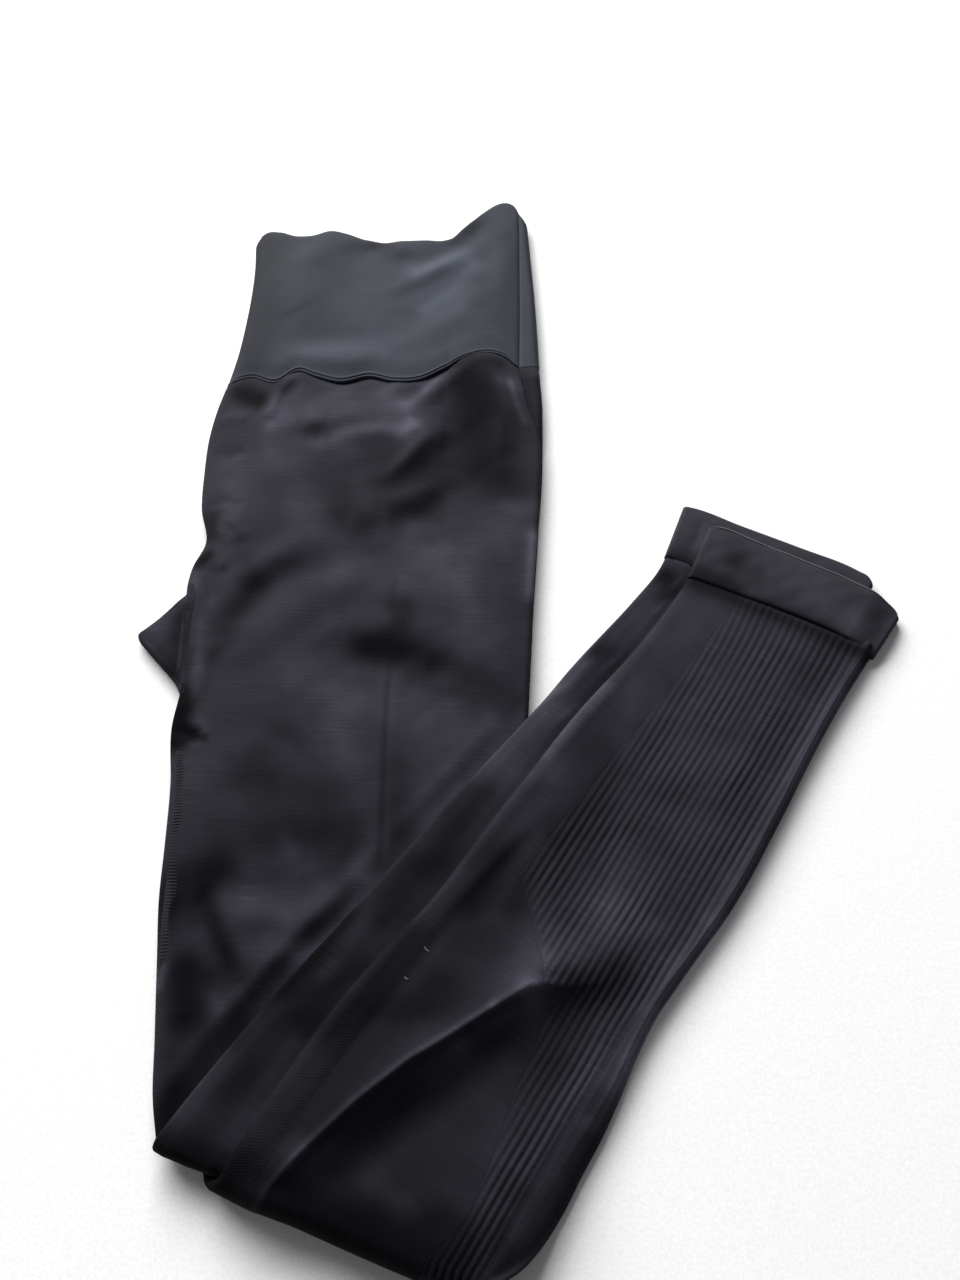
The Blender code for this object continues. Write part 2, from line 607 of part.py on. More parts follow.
def waistband():
    """The waistband folded flat: upper half, round the centre back, lower half."""
    outer_rows, inner_rows = [], []
    back_radius = STACK / 2
    for share, left_x, right_x, under_x, ridge in WAIST_ROWS:
        radius, over_outer, over_inner = edge_turn(STACK, TUBE + GAP, HALF_TURN, TUCK, (1.0,))
        _, under_outer, under_inner = edge_turn(0.0, TUBE, HALF_TURN, TUCK, (1.0,))
        main_x = shared_columns(left_x + 11.0, right_x - 9.9)[::-1]
        under_main = np.linspace(left_x + back_radius, under_x - radius, 7)[1:-1]
        angles = np.radians(np.linspace(90.0, 270.0, 7))
        for rows, over, under, depth in ((outer_rows, over_outer, under_outer, 0.0),
                                         (inner_rows, over_inner, under_inner, WALL)):
            turn_x = left_x + back_radius + (back_radius - depth) * np.cos(angles)
            turn_z = back_radius + (back_radius - depth) * np.sin(angles)
            x = np.concatenate([right_x - over[::-1, 0], main_x, turn_x, under_main,
                                under_x - under[:, 0]])
            z = np.concatenate([over[::-1, 1], np.full(len(main_x), STACK - depth), turn_z,
                                np.full(len(under_main), depth), under[:, 1]])
            y = waist_y(x, share, np.arange(len(x)) < len(over) + len(main_x))
            slack = np.zeros_like(x)
            top = slice(len(over) - 1, len(over) + len(main_x) + 1)
            width = right_x - left_x
            raised = crown((x[top] - left_x) / width) * (LOFT + folds_height(x[top], y[top], WAIST_FOLDS))
            slack[top] = raised + ridge * smooth(crown((x[top] - left_x) / width) * 4.0)
            rows.append(np.column_stack([x, y, z + slack]))
    return grid_wall(outer_rows, inner_rows)


def cuff(sizes, lift, drop_from):
    """A cuff pressed flat, as a ring of doubled knit. `lift` and `drop_from` give where it lies."""
    seam_left, seam_right, open_left, open_right, *along = sizes
    outer_rows, inner_rows = [], []
    for share in (0.0, 0.5, 1.0):
        left = seam_left + (open_left - seam_left) * share
        right = seam_right + (open_right - seam_right) * share
        start = along[0] + (along[2] - along[0]) * share
        end = along[1] + (along[3] - along[1]) * share
        height = 2 * CUFF_WALL + 0.1
        radius = height / 2
        swell = math.sin(math.pi * share) * 0.15
        main = np.linspace(left + radius, right - radius, 9)
        angles = np.radians(np.linspace(90.0, 270.0, 5))[1:-1]
        for rows, depth in ((outer_rows, -swell), (inner_rows, CUFF_WALL)):
            turn = radius - depth
            across = np.concatenate([main, right - radius - turn * np.cos(angles),
                                     main[::-1], left + radius + turn * np.cos(angles)])
            level = np.concatenate([np.full(9, height - depth), radius + turn * np.sin(angles),
                                    np.full(9, float(depth)), radius - turn * np.sin(angles)])
            far = start + (end - start) * (across - left) / (right - left)
            x = far * ALONG[0] + across * ACROSS[0]
            y = far * ALONG[1] + across * ACROSS[1]
            lying = lift * (1.0 - smooth((across - drop_from) / (right - radius - drop_from)))
            rows.append(np.column_stack([x, y, np.maximum(level, 0.0) + lying]))
    return grid_wall(outer_rows, inner_rows, wrap=True)


def gusset():
    """The gusset's folded tip: upper side, round its left edge, lower side."""
    outer_rows, inner_rows = [], []
    for y, right_x, left_x, height in GUSSET_ROWS:
        middle = height / 2
        reach = min(middle, (right_x - left_x) * 0.8)
        angles = np.radians(np.linspace(90.0, 270.0, 5))
        for rows, depth in ((outer_rows, 0.0), (inner_rows, WALL)):
            flat = reach - min(depth, reach - 0.4)
            turn_x = left_x + reach + flat * np.cos(angles)
            turn_z = middle + (middle - depth) * np.sin(angles)
            upper_x = np.array([right_x, (right_x + left_x + reach) / 2])
            x = np.concatenate([upper_x, turn_x, upper_x[::-1]])
            z = np.concatenate([np.full(2, height - depth), turn_z, np.full(2, float(depth))])
            rows.append(np.column_stack([x, np.full(len(x), y), z]))
    return grid_wall(outer_rows, inner_rows)


def knit_material(name, colour):
    material = bpy.data.materials.new(name + "_knit")
    material.use_nodes = True
    shader = material.node_tree.nodes["Principled BSDF"]
    shader.inputs["Base Color"].default_value = (*colour, 1.0)
    shader.inputs["Roughness"].default_value = KNIT_ROUGHNESS
    shader.inputs["Metallic"].default_value = 0.0
    return material


def signed_volume(points, faces):
    corners = points[np.array(faces)]
    return np.einsum("ij,ij->i", corners[:, 0], np.cross(corners[:, 1], corners[:, 2])).sum() / 6


def add_piece(name, points, faces, centre):
    """A named object from millimetre points, moved so that the whole part stands over its origin."""
    if signed_volume(points, faces) < 0:
        faces = [tuple(reversed(face)) for face in faces]
    mesh = bpy.data.meshes.new(name)
    mesh.from_pydata(((points - centre) * MM).tolist(), [], faces)
    mesh.materials.append(knit_material(name, COLOURS[name]))
    mesh.shade_smooth()
    mesh.set_sharp_from_angle(angle=math.radians(50.0))
    piece = bpy.data.objects.new(name, mesh)
    bpy.context.scene.collection.objects.link(piece)


def main():
    for leftover in list(bpy.data.objects):
        bpy.data.objects.remove(leftover)
    cuff_bed = 2 * CUFF_WALL + 0.1 + 0.5
    pieces = {
        "waistband": waistband(),
        "right_leg": right_leg(),
        "left_leg": left_leg(),
        "gusset": gusset(),
        "left_calf_ribs": left_calf_ribs(),
        "right_cuff": cuff(RIGHT_CUFF, 0.0, 50.0),
        "left_cuff": cuff(LEFT_CUFF, cuff_bed, 105.5),
        "hidden_layers": hidden_layers(),
    }
    everything = np.concatenate([points for points, _ in pieces.values()])
    centre = (everything.min(axis=0) + everything.max(axis=0)) / 2
    centre[2] = 0.0
    for name, (points, faces) in pieces.items():
        add_piece(name, points, faces, centre)


main()
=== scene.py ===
"""Folded high-waist leggings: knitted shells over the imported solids, floor, lights and camera.

Plan sizes are millimetres from the left end of the knee fold: +X across the thighs, +Y to the waist.
`along` runs up a calf from the knee fold to the ankle and `across` to the lower right.
"""
import math

import bpy
import numpy as np
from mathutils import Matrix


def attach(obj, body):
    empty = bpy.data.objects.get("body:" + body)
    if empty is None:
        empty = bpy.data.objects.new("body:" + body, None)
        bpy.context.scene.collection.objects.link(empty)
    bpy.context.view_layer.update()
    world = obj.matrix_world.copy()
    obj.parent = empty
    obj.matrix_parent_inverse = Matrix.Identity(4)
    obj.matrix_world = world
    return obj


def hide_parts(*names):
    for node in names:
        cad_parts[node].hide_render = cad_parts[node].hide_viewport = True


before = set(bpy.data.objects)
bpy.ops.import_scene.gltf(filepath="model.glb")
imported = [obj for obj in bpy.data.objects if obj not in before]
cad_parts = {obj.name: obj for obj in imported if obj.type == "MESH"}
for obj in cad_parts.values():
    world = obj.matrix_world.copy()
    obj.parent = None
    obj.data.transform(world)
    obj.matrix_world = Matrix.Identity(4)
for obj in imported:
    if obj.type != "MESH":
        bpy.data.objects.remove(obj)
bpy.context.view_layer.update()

MM = 0.001
CENTRE = np.array([128.701, 222.656, 0.0])       # the frame's origin, in plan sizes
HALF_TURN, QUARTER_TURN = math.pi, math.pi / 2

# ---- cloth ----
KNIT = 0.9                       # thickness of the legs' knit
DOUBLED = 1.3                    # and of the waistband's and cuffs' doubled knit
TUBE = 3.3                       # one leg's tube pressed flat
GAP = 0.3
STACK = 2 * TUBE + GAP           # both tubes, one on the other
CALF_LEVEL = STACK + 0.6         # underside of the right calf where it lies on the thigh
TUCK = 6.0                       # how far a shell returns under its own edge
LOFT = 2.0                       # how far the slack cloth stands above pressed layers
SINK = -1.6                      # how far hollows may go below the pressed height
HEM_LIFT = 3.95                  # of the left cuff, on the right one

# ---- how finely the shells are divided ----
FOLD_STEPS = 13
BEND_STEPS = 7
STRIP_STEPS = 22
RIGHT_THIGH_ROWS, RIGHT_CALF_ROWS, RIGHT_COLUMNS = 170, 84, 124
LEFT_THIGH_ROWS, LEFT_CALF_ROWS, LEFT_COLUMNS = 48, 176, 146
RIB_ROWS = ((-13.0, 74.0, 46), (74.0, 140.0, 92), (140.0, 303.3, 66))     # along: from, to, rows
RIB_COLUMNS = 226
COURSE_ROWS, COURSE_COLUMNS = 520, 26
SEAM_ROWS, WAIST_ROWS = 20, 56
UPPER_COLUMNS, BACK_COLUMNS, LOWER_COLUMNS = 92, 13, 40        # of the waistband
CUFF_COLUMNS, CUFF_TURN_COLUMNS = 80, 11
GUSSET_ROWS, GUSSET_COLUMNS, GUSSET_TURN_COLUMNS = 90, 44, 9
SEAM_STEP, THREAD_STEP = 0.2, 0.08

# ---- knee fold and calf directions ----
CALF_ANGLE = math.radians(35.45)
ALONG = np.array([math.sin(CALF_ANGLE), math.cos(CALF_ANGLE)])
ACROSS = np.array([math.cos(CALF_ANGLE), -math.sin(CALF_ANGLE)])
FOLD_AT = 3.0                    # along: where the thigh's rows end and the calf's start
FOLD_SHEAR = 0.28                # along per across at the knee fold
ANKLE_SHEAR = 0.141              # and at the left cuff's seam
FOLD_OUTWARD = (-ALONG + FOLD_SHEAR * ACROSS) / np.linalg.norm(-ALONG + FOLD_SHEAR * ACROSS)
LEFT_CALF_END = 303.3
RIGHT_CALF_END = 311.5

# ---- thigh: left x, left y, right x, right y, how far the left leg shows, its inset at the left ----
THIGH = np.array((
    (-20.5, 350.0, 131.5, 359.0, 10.0, 0.0),
    (-23.5, 331.0, 135.0, 337.0, 7.5, 0.0),
    (-24.8, 315.0, 140.0, 317.0, 2.0, 0.0),
    (-24.2, 292.0, 140.0, 288.0, 0.8, 0.0),
    (-22.2, 269.0, 138.0, 263.0, 0.5, 0.0),
    (-17.6, 248.5, 136.5, 243.0, 0.5, 0.0),
    (-21.6, 236.0, 135.5, 232.0, 0.5, 0.0),
    (-22.2, 226.5, 134.8, 223.0, 0.5, 0.0),
    (-21.8, 218.0, 134.2, 216.0, 0.5, 0.0),
    (-19.8, 201.0, 133.0, 198.0, 0.5, 0.0),
    (-17.2, 175.0, 131.5, 177.0, 0.5, 0.0),
    (-18.3, 155.0, 130.0, 156.0, 0.5, 0.0),
    (-14.8, 130.0, 126.0, 128.0, 0.5, 0.0),
    (-13.0, 105.0, 121.5, 97.0, 0.5, 0.0),
    (-11.7, 83.0, 117.5, 69.0, 0.5, 1.0),
    (-9.0, 63.0, 113.0, 41.0, 3.0, 2.5),
    (-4.9, 33.0, 107.5, 7.0, 8.0, 8.0),
    (-2.3, 14.0, 103.0, -17.0, 13.0, 13.0),
    (0.8, 2.2, 99.6, -33.0, 17.0, 18.0),
))
UNDER_BACK = 6.4                 # height of the lower halves where they show at the right
UNDER_RAISE = (300.0, 22.0)      # y from which they rise to it, and over what length
UNDER_TUCK = 0.8                 # how far they reach in under the upper half
UNDER_SEAM = (2.6, 118.0, 15.0)  # rise of their waist seam at the right, x from which, and length
UNDER_FADE = (325.0, 32.0)       # y from which the thigh's rows follow it, and over what length
CROTCH_TOP = 236.0               # above it both legs meet in the centre back seam
CROTCH_LOW = 218.0
CENTRE_RETURN = 0.9              # how far the right leg's shell turns under at that seam
SEAM_X = (-19.1, -8.0, 5.3, 15.5, 26.0, 38.0, 53.8, 66.0, 80.0, 92.3, 104.0, 115.7, 124.0, 131.0, 141.6)
SEAM_Y = (349.5, 352.6, 349.0, 356.8, 353.0, 349.5, 352.8, 349.2, 350.3, 358.5, 365.8, 369.2, 367.0,
          361.0, 361.0)
SEAM_FADE = 42.0                 # how far down the thigh its rows follow the waist seam
SEAM_UNDER = 1.6                 # how far the thigh's first row reaches under the waistband
SEAM_DIPS = (1.2, 0.4)           # and how far its first two rows lie below their own height
CALF_CLEAR = (2.0, 9.0)          # the thigh's top is flat this near the calf, and rises over this width

# ---- waistband: share of its height, left x, right x of the upper half, right x of the lower half ----
WAIST = np.array((
    (0.0, -20.5, 131.4, 141.8),
    (0.2, -17.8, 132.2, 141.5),
    (0.4, -16.6, 132.8, 141.0),
    (0.6, -16.2, 133.2, 140.2),
    (0.8, -16.8, 133.6, 139.2),
    (1.0, -18.6, 133.8, 138.2),
))
TOP_X = (-18.0, -14.0, -5.0, 5.0, 15.0, 24.0, 33.0, 45.0, 55.0, 65.0, 80.0, 90.0, 95.0, 100.0, 106.0,
         112.0, 118.0, 122.0, 127.0, 131.0, 133.8, 138.1)
TOP_Y = (460.0, 466.0, 467.2, 463.6, 464.2, 468.0, 466.0, 460.2, 457.4, 458.6, 459.5, 459.8, 462.2, 468.6,
         476.4, 483.8, 490.2, 493.2, 494.2, 491.6, 485.5, 478.0)
# Cords at its seam: rise, how far above the seam, width
SEAM_CORDS = ((0.55, 0.8, 0.6), (0.32, 2.9, 0.6), (-0.22, 1.9, 0.5))
# How far both skins close up on each other, by row: the top edge rolls over, the seam is pressed
PINCHES = ((-1, 0.62), (-2, 0.30), (-3, 0.10), (0, 0.5), (1, 0.15))

# ---- calves: along, right leg's left edge, left leg's left edge, right leg's right edge, left leg's
# right edge, where the left leg starts to drop, height of its right edge, ribbed zone's start, end ----
RIGHT_LOW, LEFT_LOW, RIGHT_HIGH, LEFT_HIGH, DROP_FROM, EDGE_HEIGHT, RIBS_FROM, RIBS_TO = range(1, 9)
CALF = np.array((
    (3.0, 0.0, 25.5, 101.0, 117.0, 112.5, STACK + CALF_LEVEL, 94.0, 112.0),
    (10.0, 0.0, 24.6, 103.0, 121.0, 113.8, 10.5, 96.5, 112.5),
    (18.0, 0.0, 24.0, 104.5, 123.0, 115.0, 6.5, 98.5, 112.8),
    (30.0, 0.3, 23.4, 105.0, 123.8, 116.0, TUBE, 96.5, 112.8),
    (45.0, 1.0, 23.0, 105.0, 123.0, 116.0, TUBE, 93.5, 112.7),
    (60.0, 2.0, 22.8, 105.0, 122.5, 116.4, TUBE, 90.3, 112.6),
    (76.0, 3.3, 23.5, 105.0, 121.0, 116.6, TUBE, 88.0, 112.5),
    (92.0, 5.0, 25.5, 105.0, 119.0, 115.6, TUBE, 83.5, 112.5),
    (108.0, 6.0, 27.5, 105.0, 118.0, 114.9, TUBE, 74.0, 113.2),
    (122.0, 7.2, 28.5, 105.3, 118.8, 115.6, TUBE, 62.0, 115.2),
    (136.0, 8.5, 28.6, 105.5, 119.8, 116.6, TUBE, 49.0, 117.4),
    (156.0, 10.2, 28.8, 105.7, 121.6, 118.3, TUBE, 50.2, 117.9),
    (176.0, 12.0, 29.5, 106.0, 122.0, 118.7, TUBE, 51.3, 118.3),
    (196.0, 14.0, 30.0, 105.8, 121.3, 118.0, TUBE, 52.2, 117.6),
    (212.0, 15.5, 30.5, 105.4, 120.7, 117.4, TUBE, 53.2, 117.0),
    (230.0, 16.4, 31.6, 105.0, 119.7, 116.4, TUBE, 54.6, 116.0),
    (255.0, 17.8, 33.5, 104.4, 118.8, 115.5, TUBE, 56.3, 115.1),
    (280.0, 19.2, 34.5, 103.8, 118.6, 115.3, TUBE, 57.2, 114.9),
    (LEFT_CALF_END, 20.0, 33.9, 103.2, 119.2, 115.9, TUBE, 58.2, 115.5),
    (RIGHT_CALF_END, 18.9, 33.0, 103.2, 119.4, 115.9, TUBE, 58.2, 115.5),
))
# Right edge of the thigh under the calves: x, y, x per y. Beyond it the calves drop to the surface
EDGE_X, EDGE_Y, EDGE_SLOPE = 132.5, 157.0, 0.172
DROP_START, DROP_LENGTH = 10.0, 30.0
# Slack is least at the knee fold, at the cuff and at the right edge: how little, and over what length
FOLD_SLACK, CUFF_SLACK, EDGE_SLACK = (0.35, 16.0), (0.08, 10.0), (0.3, 26.0)
BUNCH = (45.0, 104.0, 34.0, 3.5)             # bunched layers: along, across, radius, height
BUNCH_EDGE, BUNCH_START = 16.0, 25.0         # how far in from the right edge and the knee fold it starts
STRIP_MARGINS, STRIP_RISE = (1.5, 5.0, 4.0), 0.5    # of the right calf's strip that shows: its slack
CUFF_OVERLAP = 3.0                           # how far the left calf reaches into its cuff
RIBS_SUNK = (1.4, 0.4, 3.0)                  # how far the left leg sinks under its ribs, from and over
RIB_HEIGHT = 0.42
RIB_BASE, RIB_FLOOR = 0.8, 0.12              # a rib's usual strength, and how far valleys lie lower
RIB_BORDER, RIB_LEAST = 5.0, 0.3             # over what margin ribs grow, and from what share
RIB_ENDS = 0.8                               # how much wider the margin is taken at both ends
PLAIN_LOSS = 0.9                             # share that ribs lose where they fade
# Where the ribs fade at their right edge: across and along from which, and over what length
RIBS_PLAIN = ((107.5, 4.0), (8.0, 20.0), (112.0, 12.0))
RIB_LAST_VALLEY = 116.2                      # across; the others follow it to the left
RIB_PITCH_AT = (-20.0, 30.0, 50.0, 120.0, 160.0, 200.0, 240.0, 270.0, 290.0, 304.0)
RIB_PITCH = (2.45, 2.58, 2.63, 2.77, 2.84, 2.90, 2.97, 3.05, 3.18, 3.30)

# ---- cuffs: across of the left and right ends at the seam and at the open edge; then, by share of
# the width, the seam's and the open edge's place up the calf ----
RIGHT_CUFF = (18.6, 104.0, 11.5, 104.7)
RIGHT_CUFF_ENDS = ((0.0, 312.6, 343.2), (0.04, 313.0, 344.6), (0.3, 316.2, 348.6), (0.6, 319.8, 353.2),
                   (0.9, 323.6, 357.0), (0.96, 324.4, 356.6), (1.0, 324.8, 353.6))
LEFT_CUFF = (33.7, 120.6, 28.0, 121.5)
LEFT_CUFF_ENDS = ((0.0, 306.0, 336.2), (0.04, 306.8, 338.0), (0.25, 310.4, 341.0), (0.5, 314.6, 344.2),
                  (0.72, 317.4, 346.4), (0.9, 318.6, 346.6), (0.97, 318.9, 345.6), (1.0, 319.0, 343.8))
# What each lies on and across where it drops to the surface, a hollow's place and width, waves' seed
RIGHT_CUFF_LIES, LEFT_CUFF_LIES = (0.0, 50.0), (HEM_LIFT, 105.5)
RIGHT_CUFF_DENT, LEFT_CUFF_DENT = (0.12, 0.03), (0.22, 0.05)
RIGHT_CUFF_SEED, LEFT_CUFF_SEED = 71, 72
CUFF_THICK = 3.6
CUFF_SWELL = (2.0, -0.2)                     # how far its middle stands above its seam and open edge
CUFF_DENT = (-0.8, 0.45, 0.3)                # the hollow: depth, share of the cuff's height, spread

# ---- coarse courses beside the left calf's seam: from and to along; then across by along ----
HATCH = (2.0, 66.0)
HATCH_AT, HATCH_LOW, HATCH_HIGH = (0.0, 30.0, 75.0), (26.0, 24.6, 26.0), (37.4, 36.6, 36.0)
HATCH_SLANT, HATCH_PITCH, HATCH_RISE = 0.43, 1.05, 0.12
HATCH_BASE, HATCH_MOST, HATCH_BORDER = 0.5, 1.2, 2.5
RIB_SHELL, COURSE_SHELL = 1.1, 0.7           # how far these pieces reach into the leg

# ---- gusset: y, right x, left x, height at its left ----
GUSSET = np.array((
    (226.0, -18.6, -22.2, 5.8),
    (221.5, -17.4, -23.2, 5.6),
    (218.5, -17.0, -26.0, 5.4),
    (214.4, -16.8, -29.2, 5.2),
    (208.0, -16.6, -34.4, 5.2),
    (203.5, -16.4, -38.9, 5.2),
    (201.4, -16.3, -41.0, 5.2),
    (199.2, -16.2, -40.6, 5.2),
    (193.0, -16.0, -35.6, 5.2),
    (184.0, -15.6, -27.2, 5.2),
    (177.0, -15.2, -21.0, 5.2),
    (170.0, -14.6, -17.4, 5.4),
))

# ---- seams and threads: width, rise and the places they run through; threads as (along, across) ----
RUNG = 1.25                                  # of a flat seam's ladder
SEAM_BASE, SEAM_SHELL, SEAM_ENDS = 0.02, 0.5, 4.0      # its least rise, thickness and length of its ends
SEAM_SECTION = (-1.0, -0.96, -0.85, -0.6, -0.3, 0.0, 0.3, 0.6, 0.85, 0.96, 1.0)     # of half its width
CROTCH_SEAM = (3.0, 0.1, (-20.2, 214.0), (-19.8, 206.0), (-19.3, 196.0), (-18.8, 187.0), (-18.4, 179.0))
RIGHT_INSEAM = (5.2, 0.24, (-11.6, 146.0), (-9.4, 130.0), (-7.8, 110.0), (-7.0, 95.0), (-6.2, 78.0),
                (-4.2, 58.0))
UPPER_THREAD = ((95.6, 36.8), (94.8, 38.0), (94.6, 39.4))
LOWER_THREAD = ((82.8, 37.4), (82.2, 38.4), (82.4, 39.4))
THREAD_RADIUS, HEM_RADIUS = 0.22, 0.42

# ---- gentle unevenness: rise, length of the waves, seed, and how many waves where it isn't 7 ----
CALF_WAVES = ((0.25, 46.0, 11), (0.07, 13.0, 12))
THIGH_WAVES = ((0.35, 62.0, 21), (0.10, 17.0, 22))
STRIP_WAVES = ((0.12, 24.0, 31),)
RIB_WANDER, RIB_STRENGTH = ((0.16, 34.0, 41, 5),), ((0.25, 22.0, 42),)
WAIST_WAVES = ((0.25, 48.0, 51), (0.05, 12.0, 52))
GUSSET_WAVES = ((0.30, 15.0, 61),)
RUNG_WAVES = ((0.35, 17.0, 81, 5),)
COURSE_WANDER, COURSE_STRENGTH = ((0.3, 9.0, 83),), ((0.7, 6.0, 84),)
HEM_WAVES = ((0.12, 11.0, 91),)
MOTTLING = ((0.1, 30.0, 95), (0.05, 11.0, 96))

# ---- creases: width on its left and on its right, height, then x and y of each place on its line ----
WAIST_CREASES = (
    (12, 12, 0.6, -14, 430, 0, 418, 12, 400),
)
THIGH_CREASES = (
    (3.2, 4, 1.7, 15, 354, 8, 342, 3.5, 322),
    (4, 5, 1.5, 64, 348, 69, 335, 76, 320, 81, 311),
    (2.4, 2.8, 1.6, 121, 352, 127, 333, 136.5, 316),
    (2, 2.4, -0.5, 73, 228, 74, 206),
    (2, 3, 0.35, 70.8, 192, 70.8, 150, 71.3, 120, 72, 84),
    (1.3, 1.5, -0.8, 72.4, 190, 72.2, 150, 73.2, 86),
    (2, 2.4, -2.6, -20, 157, -14, 152.5, -3, 150),
    (2.6, 2.6, -1.4, -18, 164, -14.5, 158, -13, 150),
    (3.2, 3.6, 1.4, -14, 164, -9, 172, -6, 196),
    (3.2, 3, 1.7, -20, 245, -12, 241, -5, 232),
    (2.6, 2.8, -1.5, -18, 239, -12, 230, -9, 214),
    (3, 3, 1.1, -13, 262, -5, 258, 2, 249),
    (2.2, 2.2, -0.9, -16, 254, -8, 250, -4, 243),
    (2.8, 2.8, -1, -20, 268, -11, 272, -1, 268),
    (2.6, 3, -0.7, -21, 303, -12, 300, -4, 303),
    (3, 3, 0.9, -22, 322, -14, 326, -6, 323),
)
# The same, with along and across for x and y
CALF_CREASES = (
    (24, 12, 2.6, 128, 112, 115, 98, 105, 88, 101, 80.5, 96, 75, 85, 69.5, 67.5, 61.3, 57.5, 56, 38.7,
     49.3, 22, 45, -8, 39.5),
    (12, 1.8, 1.2, 112, 96, 104, 86.5, 100, 79.5, 96, 75, 85, 69.5, 67.5, 61.3, 57.5, 56, 38.7, 49.3,
     22, 45, -8, 39.5),
    (1.6, 1.1, 0.6, 104, 86.5, 100, 79.5, 96, 75, 85, 69.5, 67.5, 61.3, 57.5, 56, 38.7, 49.3, 22, 45,
     -8, 39.5),
    (3.2, 3.6, -0.9, 160, 45, 135, 42, 110, 38.6, 60, 37.2, 20, 36.6, 0, 36.2),
    (2.8, 2.8, 1, 300, 38.5, 240, 36, 200, 34, 140, 31, 100, 28, 60, 25.5, 6, 25),
    (4, 2.4, 0.9, 96, 117, 66, 116.5, 36, 116, 12, 114.5),
    (10, 10, -0.8, 172, 66, 150, 84, 136, 104),
    (12, 12, 0.7, 236, 60, 218, 80, 210, 104),
)
STRIP_CREASES = (
    (4, 4, -1.1, 299, 22, 297, 31),
    (3, 3, 0.6, 291, 22, 289, 30),
    (3.4, 3.4, -0.8, 283, 22, 280, 31),
    (4.5, 4.5, -0.8, 247, 19, 244, 29),
    (5, 5, -0.8, 215, 18, 211, 28),
    (9, 9, -0.6, 130, 10, 105, 20),
    (8, 8, -0.8, 84, 10, 66, 22),
    (7, 7, 0.7, 60, 4, 22, 10),
)
FADE, FADED = 0.2, 0.15                      # share of its length over which a crease fades, its start
SIDE_BLEND = 3.0                             # in lengths of a run: how wide its sides' widths blend

# ---- slopes: width, rise, then x and y of each place. It is high towards the back left and low towards
# the front right, and the other way round where its rise is less than nothing. ----
LIGHTWARD = (-0.45, 0.893)
SOFTER = 1.25
END_LOSS, END_POWER = 0.7, 2.5               # how much weaker a slope is at its line's ends
WAIST_SLOPES = (
    (7, 1.5, 60, 444, 74, 450),
    (5, 1.2, 44, 456, 56, 455),
    (6, 1.6, 101, 463, 110, 478),
    (5, 0.8, 62, 412, 78, 424, 94, 438),
    (9, -2, 72, 384, 96, 404, 112, 424, 124, 452),
    (6, -1.4, 76, 432, 106, 456),
    (9, -1.7, 12, 372, 58, 374),
    (9, -0.9, 8, 444, 16, 458),
    (8, 0.9, 20, 440, 32, 425),
    (10, 1.5, 118, 380, 124, 410),
    (9, 0.9, -15, 405, -12, 362),
)
THIGH_SLOPES = (
    (7, 3.2, -14, 343, -2, 334),
    (16, -2.8, 20, 331, 68, 331),
    (5.5, 2.8, 22, 317, 34, 316),
    (5, -1, 34, 309, 45, 314, 62, 318, 76, 315),
    (4.5, -3, 103, 362, 91, 350, 79, 336),
    (8, 3.4, 97, 318, 85, 302, 72, 287),
    (3.4, -1.3, 83, 313, 65, 288),
    (8, 3.6, 66, 264, 80, 270, 93, 279),
    (10, 2.6, 34, 284, 43, 268),
    (8, 1.8, 50, 258, 64, 259),
    (11, 3, 115, 294, 124, 279),
    (6, -1.8, -18, 286, -6, 276),
    (6.5, 2.8, 33, 243, 19, 235, 6, 223, -3, 204),
    (8, -1.8, 54, 237, 27, 219, 10, 202),
    (8, -1.5, 80, 240, 100, 243),
    (8.5, 4.2, 50, 195, 72, 194, 88, 191),
    (8, 2.8, 88, 190, 104, 181, 130, 166),
    (11, -1.8, 32, 188, 44, 172),
    (8, -2.4, 76, 177, 92, 166),
    (10, 2.4, 12, 112, 30, 108.5, 48, 108, 68, 111),
    (7, 2.8, -8, 97, 6, 91),
    (7, -2.8, 8, 84, 25, 82, 44, 80, 60, 88),
    (5, -1.5, 26, 66, 40, 64),
    (3.8, 2.6, 3, 81, 10, 69, 22, 55),
    (3.5, -1.3, -2, 78, 10, 60),
    (6, 2.2, 58, 74, 38, 54, 20, 34),
    (5, -1, -6, 45, 2, 25),
    (4, 2.2, -18, 159, -13, 149),
)
HIP_SLOPES = (
    (24, 6.5, 92, 332, 122, 330),
)
CALF_SLOPES = (
    (9.5, 4.6, 110, 96, 97, 83, 84, 76.5, 66, 68.5, 50, 60, 25, 51, 0, 45.5),
    (7, -2, 114, 52, 104, 64),
    (5, 1.8, 160, 45, 130, 42, 106, 40),
    (12, -1.8, 48, 84, 14, 68),
    (8, -1.4, 132, 72, 118, 84),
    (8, 1, 96, 52, 70, 44),
)
GUSSET_SLOPES = (
    (4, 0.8, -36, 202, -24, 196),
    (4, -0.8, -30, 211, -22, 216),
    (3.5, 1, -24, 205, -21, 190),
)

